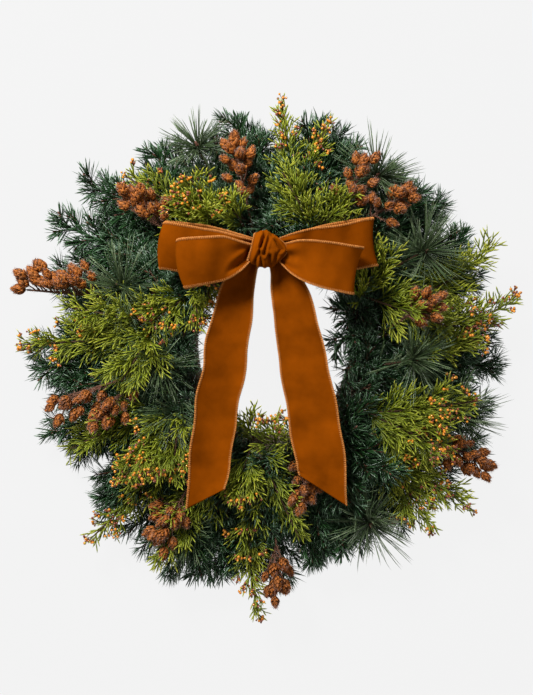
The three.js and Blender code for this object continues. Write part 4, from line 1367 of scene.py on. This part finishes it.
def below_stem(a, random):
    return low_stem(a, 0.12, (0.82, 0.96), (8, 16), (6, 16), random)


def behind_stem(a, random):
    return low_stem(a, 0.16, (0.68, 0.9), (20, 32), (24, 44), random)


def between_stem(a, random):
    root = on_ring(random.uniform(138, 150), a, RING_HEIGHT)
    far = random.uniform(200, 250)
    turned = a + random.uniform(-0.35, 0.35)
    return root, on_ring(far, turned, random.uniform(40, 62))


def over_stem(a, random):
    """A short stem over the ring. At the ring's sides it may come further into the hole."""
    turned = a + random.choice([-1, 1]) * random.uniform(0.2, 0.45)
    root = on_ring(random.uniform(128, 150), a, RING_HEIGHT)
    at_side = abs(math.cos(a)) > 0.5 and math.sin(a) > -0.3
    inner = INWARD_REACH if at_side else RING_INNER + 16
    return root, on_ring(random.uniform(inner, 186), turned, random.uniform(48, 76))


# Each layer's stems, how many of them a quarter of the ring has, their rise, and their longest twig.
FILLING = {
    "below": (below_stem, 22, 2, 56),
    "behind": (behind_stem, 18, 6, 52),
    "between": (between_stem, 17, 10, 42),
    "over": (over_stem, 18, 12, 28),
}


def ring_filling():
    """Fir shoots bound in over the ring and behind the sprays, so that no gap is left."""
    random = np.random.default_rng(SEEDS["fir filling"])
    for quarter in range(4):
        layers = {}
        for label, (stem, count, rise, _) in FILLING.items():
            angles = ((quarter + (k + random.uniform(0.2, 0.8)) / count) * TURN / 4 for k in range(count))
            layers[label] = joined(*(arch(*stem(a, random), rise * UP) for a in angles))
        for label, (_, _, _, longest) in FILLING.items():
            growth = Growth("fir_needle", "bark")
            fir_shoots(growth, layers[label], FILLING_TWIG_PITCH, longest, -0.1, False, random)
            growth.object(f"fir_filling_{label}_{quarter + 1}", "fir")


# ---- The bow ----
def band_points(stations, u):
    """The ribbon's centre and half width at places along it, through its stations."""
    rows = np.asarray(stations, float)
    at = np.clip(u, 0, 1) * (len(rows) - 1)
    i = np.minimum(len(rows) - 2, at.astype(int))
    t = (at - i)[:, None]
    a, b, c, d = (rows[np.clip(i + k, 0, len(rows) - 1)] for k in (-1, 0, 1, 2))
    bend = (-a + 3 * b - 3 * c + d) * t + (2 * a - 5 * b + 4 * c - d)
    both = 0.5 * ((bend * t + (c - a)) * t + 2 * b)
    return both[:, :3], both[:, 3:]


def even_places(stations, count):
    """Places that are the same distance apart along the ribbon, and its length."""
    u = np.linspace(0, 1, 800)
    centre, _ = band_points(stations, u)
    far = np.concatenate([[0], np.cumsum(np.linalg.norm(np.diff(centre, axis=0), axis=1))])
    return np.interp(np.linspace(0, far[-1], count), far, u), far[-1]


def ribbon_folds(name, near, t, wide, slack, gather):
    """How far the pleats and creases near the knot lift the ribbon."""
    folds, phase = PLEATS[name]
    pleat = np.minimum(4.5, wide / (folds * math.pi) * math.sqrt(2) * slack) * gather
    lift = pleat * np.cos(folds * math.pi * t + phase)
    for at_knot, at_end, depth, width, reach in CREASES[name]:
        share = np.clip(near / reach, 0, 1)
        middle = at_knot + (at_end - at_knot) * share
        away = (t - middle) * wide / (width * (1 + 0.8 * share))
        fold = 0.35 * np.exp(-((away - 2.1) ** 2)) - np.exp(-(away ** 2))
        lift = lift + depth * fold * (1 - share ** 2) ** 1.5 * np.clip(near / 6, 0, 1)
    return lift


def ribbon_surface(name, seed):
    """Points over the middle of the ribbon, and its length."""
    stations = BOW[name]
    count, columns = RIBBON_GRID
    random = np.random.default_rng(seed)
    loop = "loop" in name
    u, length = even_places(stations, count)
    centre, half = band_points(stations, u)
    ahead, _ = band_points(stations, u + 0.004)
    behind, _ = band_points(stations, u - 0.004)
    normal = unit(np.cross(half, unit(ahead - behind)))
    t = np.linspace(-1, 1, columns)[None]
    far = np.linspace(0, length, count)[:, None]
    near = np.minimum(far, length - far) if loop else far
    full = ribbon_sizes().width / MM / 2
    wide = np.linalg.norm(half, axis=1)[:, None]
    slack = np.sqrt(np.clip((full / np.maximum(wide, 6)) ** 2 - 1, 0, 4))
    gather = np.clip(1 - near / (50 if loop else 62), 0, 1)
    gather = gather ** 2 * (3 - 2 * gather)
    drop = np.minimum(4.5, wide * 0.45 * slack) * (1 - gather) * (1 / 3 - t ** 2)
    for pitch, size in RIPPLES:
        slant = random.uniform(-1.8, 1.8)
        wave = np.sin(far / pitch * TURN + slant * t + random.uniform(0, TURN))
        drop = drop + size * (0.8 if loop else 0.5) * (1 - gather) * wave
    surface = centre[:, None] + half[:, None] * t[..., None] + normal[:, None] * drop[..., None]
    surface[..., 2] += ribbon_folds(name, near, t, wide, slack, gather)
    if not loop:
        sway = 0.9 * (1 - gather) * np.sin(far / 74 * TURN + random.uniform(0, TURN))
        surface = surface + unit(half)[:, None] * sway[..., None]
    return surface, length


def surface_normals(surface):
    along = np.gradient(surface, axis=0)
    across = np.gradient(surface, axis=1)
    return unit(np.cross(across, along))


def sheet_faces(rows, columns):
    """A thin closed sheet: its upper points come first, then its lower ones."""
    i, j = np.meshgrid(np.arange(rows - 1), np.arange(columns - 1), indexing="ij")
    a, b = (i * columns + j).ravel(), (i * columns + j + 1).ravel()
    c, d = b + columns, a + columns
    n = rows * columns
    faces = [np.stack([a, b, c], 1), np.stack([a, c, d], 1)]
    faces += [np.stack([a + n, c + n, b + n], 1), np.stack([a + n, d + n, c + n], 1)]
    top = np.arange(columns - 1)
    side = np.arange(rows - 1) * columns
    rims = [(top + 1, top), (top + (rows - 1) * columns, top + 1 + (rows - 1) * columns)]
    rims += [(side, side + columns), (side + columns + columns - 1, side + columns - 1)]
    for p, q in rims:
        faces += [np.stack([p, q, q + n], 1), np.stack([p, q + n, p + n], 1)]
    return np.concatenate(faces)


def cord_faces(rows, sides):
    """Triangles of a round cord with flat ends."""
    i, j = np.meshgrid(np.arange(rows - 1), np.arange(sides), indexing="ij")
    p, q = (i * sides + j).ravel(), (i * sides + (j + 1) % sides).ravel()
    last = sides * (rows - 1)
    faces = [np.stack([p, q, q + sides], 1), np.stack([p, q + sides, p + sides], 1)]
    faces += [np.array([(0, j, j + 1) for j in range(1, sides - 1)])]
    faces += [np.array([(last, last + j + 1, last + j) for j in range(1, sides - 1)])]
    return np.concatenate(faces)


def edge_trim(growth, edge, inward, normal, random):
    """The copper overlock on one edge: a cord of thread and slanted stitches over it."""
    steps = np.linalg.norm(np.diff(edge, axis=0), axis=1)
    far = np.concatenate([[0], np.cumsum(steps)])
    count = int(far[-1] / (ribbon_sizes().stitch / MM))
    at = (np.arange(count) + 0.5 + random.uniform(-0.08, 0.08, count)) / count * far[-1]

    def along(table, shift=0.0):
        return np.stack([np.interp(at + shift, far, table[:, k]) for k in range(3)], axis=-1)

    start = along(edge + inward * 3.0 + normal * 0.95, 1.3)
    end = along(edge + inward * 2.7 - normal * 0.95, -0.9)
    middle = along(edge - inward * 1.2)
    stitches = Lines(start, 4 * middle - end - 3 * start, 2 * (start + end) - 4 * middle)
    way = unit(np.gradient(edge, axis=0))
    tint = random.uniform(0.45, 1, count)
    growth.blades("copper_thread", stitches, along(way), 0.82, 0.5, tint, STITCH, 5)
    rows = len(edge)
    a = np.arange(CORD_SIDES) / CORD_SIDES * TURN
    rim = inward[:, None] * np.cos(a)[None, :, None] + normal[:, None] * np.sin(a)[None, :, None]
    points = (edge[:, None] + rim * CORD_RADIUS).reshape(1, -1, 3)
    tint = np.tile(0.3 + 0.04 * np.cos(a), (rows, 1)).reshape(1, -1)
    along_cord = np.repeat(0.3 + 0.4 * np.linspace(0, 1, rows), CORD_SIDES)[None]
    growth.add(points, cord_faces(rows, CORD_SIDES), tint, along_cord, "copper_thread")


def thin_cloth(surface, normal):
    """A surface's two sides as one body's points, with a map of the flat cloth for each side."""
    rows, columns = surface.shape[:2]
    offset = normal * (ribbon_sizes().thickness / MM / 2)
    points = np.concatenate([(surface + offset).reshape(-1, 3), (surface - offset).reshape(-1, 3)])
    v, u = np.meshgrid(np.linspace(-1, 1, rows), np.linspace(-1, 1, columns), indexing="ij")
    flat = np.stack([u.ravel(), v.ravel()], axis=-1)
    chart = np.concatenate([0.5 + 0.47 * flat, 0.5 + 0.485 * flat])
    return points[None], chart


def sew(name, surface, normal, faces, length, random):
    """Makes a surface of the bow a sheet of velvet, with the copper stitching of its edges."""
    velvet = Growth("velvet")
    points, chart = thin_cloth(surface, normal)
    velvet.add(points, faces, 0, 0, "velvet", chart)
    cloth = velvet.object(f"{name}_velvet", "ribbon")
    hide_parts(name)
    trim = Growth("copper_thread")
    for first, second in ((0, 1), (-1, -2)):
        inside = unit(surface[:, second] - surface[:, first])
        edge_trim(trim, surface[:, first], inside, normal[:, first], random)
    thread = trim.object(f"{name}_stitching", "ribbon")
    flat = (ribbon_sizes().width, length * MM)


def ribbon_piece(name, number):
    """One loop or tail of the bow."""
    surface, length = ribbon_surface(name, SEEDS["ribbon"] + number)
    random = np.random.default_rng(SEEDS["stitches"] + number)
    sew(name, surface, surface_normals(surface), sheet_faces(*RIBBON_GRID), length, random)


def soft_ridges(phase):
    """Folds with rounded ridges and narrow valleys between them."""
    return np.sqrt(np.sin(phase) ** 2 + 0.015) ** 0.8 - 0.62


def knot_folds(x, up, front):
    """How far the gathered cloth stands out of the knot's round form, in mm."""
    turn = np.arctan2(up, front)
    folds = 1.5 * soft_ridges(5.2 * x + 0.9 * np.sin(turn + 0.7) + 0.5)
    folds = folds + 0.8 * soft_ridges(9.6 * x - 1.5 * np.sin(turn - 0.5) + 1.3)
    folds = folds * (1 - 0.75 * np.abs(x) ** 4)
    in_front = np.clip(front * 4, 0, 1)
    for x1, up1, x2, up2, depth, width in KNOT_CREASES:
        run = np.array([x2 - x1, up2 - up1])
        share = np.clip(((x - x1) * run[0] + (up - up1) * run[1]) / (run @ run), 0, 1)
        away = np.hypot(x - x1 - run[0] * share, (up - up1 - run[1] * share) * 0.9) / width
        folds = folds + in_front * depth * (0.4 * np.exp(-((away - 2.0) ** 2)) - np.exp(-(away ** 2)))
    return folds


def knot_surface():
    """The ribbon wrapped round the bow's middle, gathered into folds that run up and down."""
    rows, columns = KNOT_GRID
    turn = np.linspace(0, TURN, rows)[:, None]
    x = np.linspace(-1, 1, columns)[None]
    up, front = np.sin(turn), np.cos(turn)
    folds = knot_folds(x, up, front)
    places = [-1, -0.6, -0.15, 0.36, 0.7, 1]
    over = np.interp(x, places, [0.88, 0.98, 1.0, 0.88, 0.76, 0.56])
    under = np.interp(x, places, [0.68, 0.9, 1.02, 0.98, 0.84, 0.62])
    soft = np.clip(0.5 + 1.5 * up, 0, 1)
    tall = KNOT_SIZE[1] * (under + (over - under) * soft ** 2 * (3 - 2 * soft))
    side = np.where(x < 0, 0.85 - 0.18 * up, 1.02 - 0.42 * (up + 0.05) ** 2)
    wide = (KNOT_SIZE[0] + 1.4) * x * side + 2.3
    y = (tall - 1.0 + folds) * up + 2.2
    deep = np.sign(front) * np.abs(front) ** 0.62
    z = KNOT_SIZE[2] * (1 - (0.93 * x) ** 2) ** 0.12 * deep + (folds - 1.0) * front
    return KNOT_CENTRE + np.stack([wide, y, z], axis=-1)


def knot_piece():
    """The bow's knot. Its surface closes on itself, so its normals go on over the seam."""
    surface = knot_surface()
    around = np.concatenate([surface[-2:-1], surface, surface[1:2]])
    normal = -unit(np.cross(np.gradient(around, axis=1), np.gradient(around, axis=0)))[1:-1]
    if np.sum(normal * (surface - KNOT_CENTRE)) < 0:
        normal = -normal
    faces = sheet_faces(*KNOT_GRID)[:, ::-1]
    random = np.random.default_rng(SEEDS["knot"])
    sew("bow_knot", surface, normal, faces, KNOT_CLOTH, random)


# ---- The stage ----
def pale_floor():
    """The backdrop under the wreath, which glows evenly so that it shows no shadow."""
    bpy.ops.mesh.primitive_plane_add(size=12, location=(0, 0, -0.0005))
    floor = bpy.context.active_object
    floor.name = "pale_floor"
    finish = Finish("pale_floor_paper", Roughness=1.0)
    finish.set("Specular IOR Level", 0)
    finish.set("Base Color", (0.02, 0.02, 0.02, 1))
    finish.set("Emission Color", (1, 1, 1, 1))
    finish.set("Emission Strength", stage_sizes().backdrop)
    floor.data.materials.append(finish.material)


def add_light(name, place, size, power):
    """A square lamp that faces the middle of the floor."""
    light = bpy.data.lights.new(name, "AREA")
    light.size = size
    light.energy = power
    lamp = bpy.data.objects.new(name, light)
    lamp.location = place
    direction = -np.array(place)
    pitch = math.atan2(math.hypot(direction[0], direction[1]), -direction[2])
    lamp.rotation_euler = (pitch, 0, math.atan2(direction[1], direction[0]) - math.pi / 2)
    bpy.context.scene.collection.objects.link(lamp)


def daylight():
    world = bpy.data.worlds.new("studio")
    world.use_nodes = True
    background = world.node_tree.nodes["Background"]
    background.inputs[0].default_value = (1, 1, 1, 1)
    background.inputs[1].default_value = DAYLIGHT
    bpy.context.scene.world = world


def camera_above():
    """The camera looks straight down, as the photo looks straight at the wreath."""
    sizes = stage_sizes()
    scene = bpy.context.scene
    camera = bpy.data.cameras.new("camera")
    camera.sensor_width = 36
    camera.lens = camera.sensor_width * sizes.height / sizes.view
    eye = bpy.data.objects.new("camera", camera)
    middle = VIEW_MIDDLE + SHIFT[:2]
    eye.location = (middle[0] * MM, middle[1] * MM, sizes.height + VIEW_LEVEL * MM)
    scene.collection.objects.link(eye)
    scene.camera = eye
    scene.view_settings.view_transform = "Standard"


# ---- The operators ----
class WREATH_OT_stage(bpy.types.Operator):
    """Lays the pale floor, hangs the soft lights and sets the camera above the wreath"""

    bl_idname = "wreath.stage"
    bl_label = "Stage"

    def execute(self, context):
        pale_floor()
        add_light("key_light", *KEY_LIGHT)
        add_light("fill_light", *FILL_LIGHT)
        daylight()
        camera_above()
        return {"FINISHED"}


class WREATH_OT_ring(bpy.types.Operator):
    """Winds the twine over the wreath's ring and fills it with short fir"""

    bl_idname = "wreath.ring"
    bl_label = "Wound Ring"

    def execute(self, context):
        wound_ring()
        ring_filling()
        return {"FINISHED"}


class WREATH_OT_fir(bpy.types.Operator):
    """Grows the fir sprays with their needles and buds"""

    bl_idname = "wreath.fir"
    bl_label = "Fir Sprays"

    def execute(self, context):
        make_sprays("fir", FIR_SPRAYS, fir_spray)
        return {"FINISHED"}


class WREATH_OT_pine(bpy.types.Operator):
    """Grows the bursts of long pine needles"""

    bl_idname = "wreath.pine"
    bl_label = "Pine Sprays"

    def execute(self, context):
        make_sprays("pine", PINE_SPRAYS, pine_spray)
        return {"FINISHED"}


class WREATH_OT_cedar(bpy.types.Operator):
    """Grows the feathery cedar fronds and their berries"""

    bl_idname = "wreath.cedar"
    bl_label = "Cedar Sprays"

    def execute(self, context):
        make_sprays("cedar", CEDAR_SPRAYS, cedar_spray)
        cedar_filling()
        return {"FINISHED"}


class WREATH_OT_cones(bpy.types.Operator):
    """Grows the clusters of small papery cones"""

    bl_idname = "wreath.cones"
    bl_label = "Cone Sprays"

    def execute(self, context):
        make_sprays("cone", CONE_SPRAYS, cone_spray)
        return {"FINISHED"}


class WREATH_OT_bow(bpy.types.Operator):
    """Ties the velvet bow: its loops, tails, knot and wire"""

    bl_idname = "wreath.bow"
    bl_label = "Velvet Bow"

    def execute(self, context):
        for number, name in enumerate(BOW):
            ribbon_piece(name, number)
        knot_piece()
        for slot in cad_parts["bow_wire"].material_slots:
            slot.material = finish_named("tie_wire")
        return {"FINISHED"}


class WREATH_PT_panel(bpy.types.Panel):
    bl_idname = "WREATH_PT_panel"
    bl_label = "Evergreen Wreath"
    bl_space_type = "VIEW_3D"
    bl_region_type = "UI"
    bl_category = "Wreath"

    def draw(self, context):
        for operator in OPERATORS:
            self.layout.operator(operator.bl_idname)
        for group, kind in GROUPS.items():
            for name in kind.__annotations__:
                self.layout.prop(getattr(context.scene, group), name)


OPERATORS = (
    WREATH_OT_stage,
    WREATH_OT_ring,
    WREATH_OT_fir,
    WREATH_OT_pine,
    WREATH_OT_cedar,
    WREATH_OT_cones,
    WREATH_OT_bow,
)
GROUPS = {
    "wreath_foliage": WreathFoliageSizes,
    "wreath_ribbon": WreathRibbonSizes,
    "wreath_colours": WreathColours,
    "wreath_stage": WreathStageSizes,
}


def register():
    for kind in (*GROUPS.values(), *OPERATORS, WREATH_PT_panel):
        bpy.utils.register_class(kind)
    for name, group in GROUPS.items():
        setattr(bpy.types.Scene, name, PointerProperty(type=group))


def unregister():
    for name in GROUPS:
        delattr(bpy.types.Scene, name)
    for kind in reversed((*GROUPS.values(), *OPERATORS, WREATH_PT_panel)):
        bpy.utils.unregister_class(kind)


def main():
    register()
    for operator in OPERATORS:
        group, name = operator.bl_idname.split(".")
        getattr(getattr(bpy.ops, group), name)()


if __name__ == "__main__":
    main()
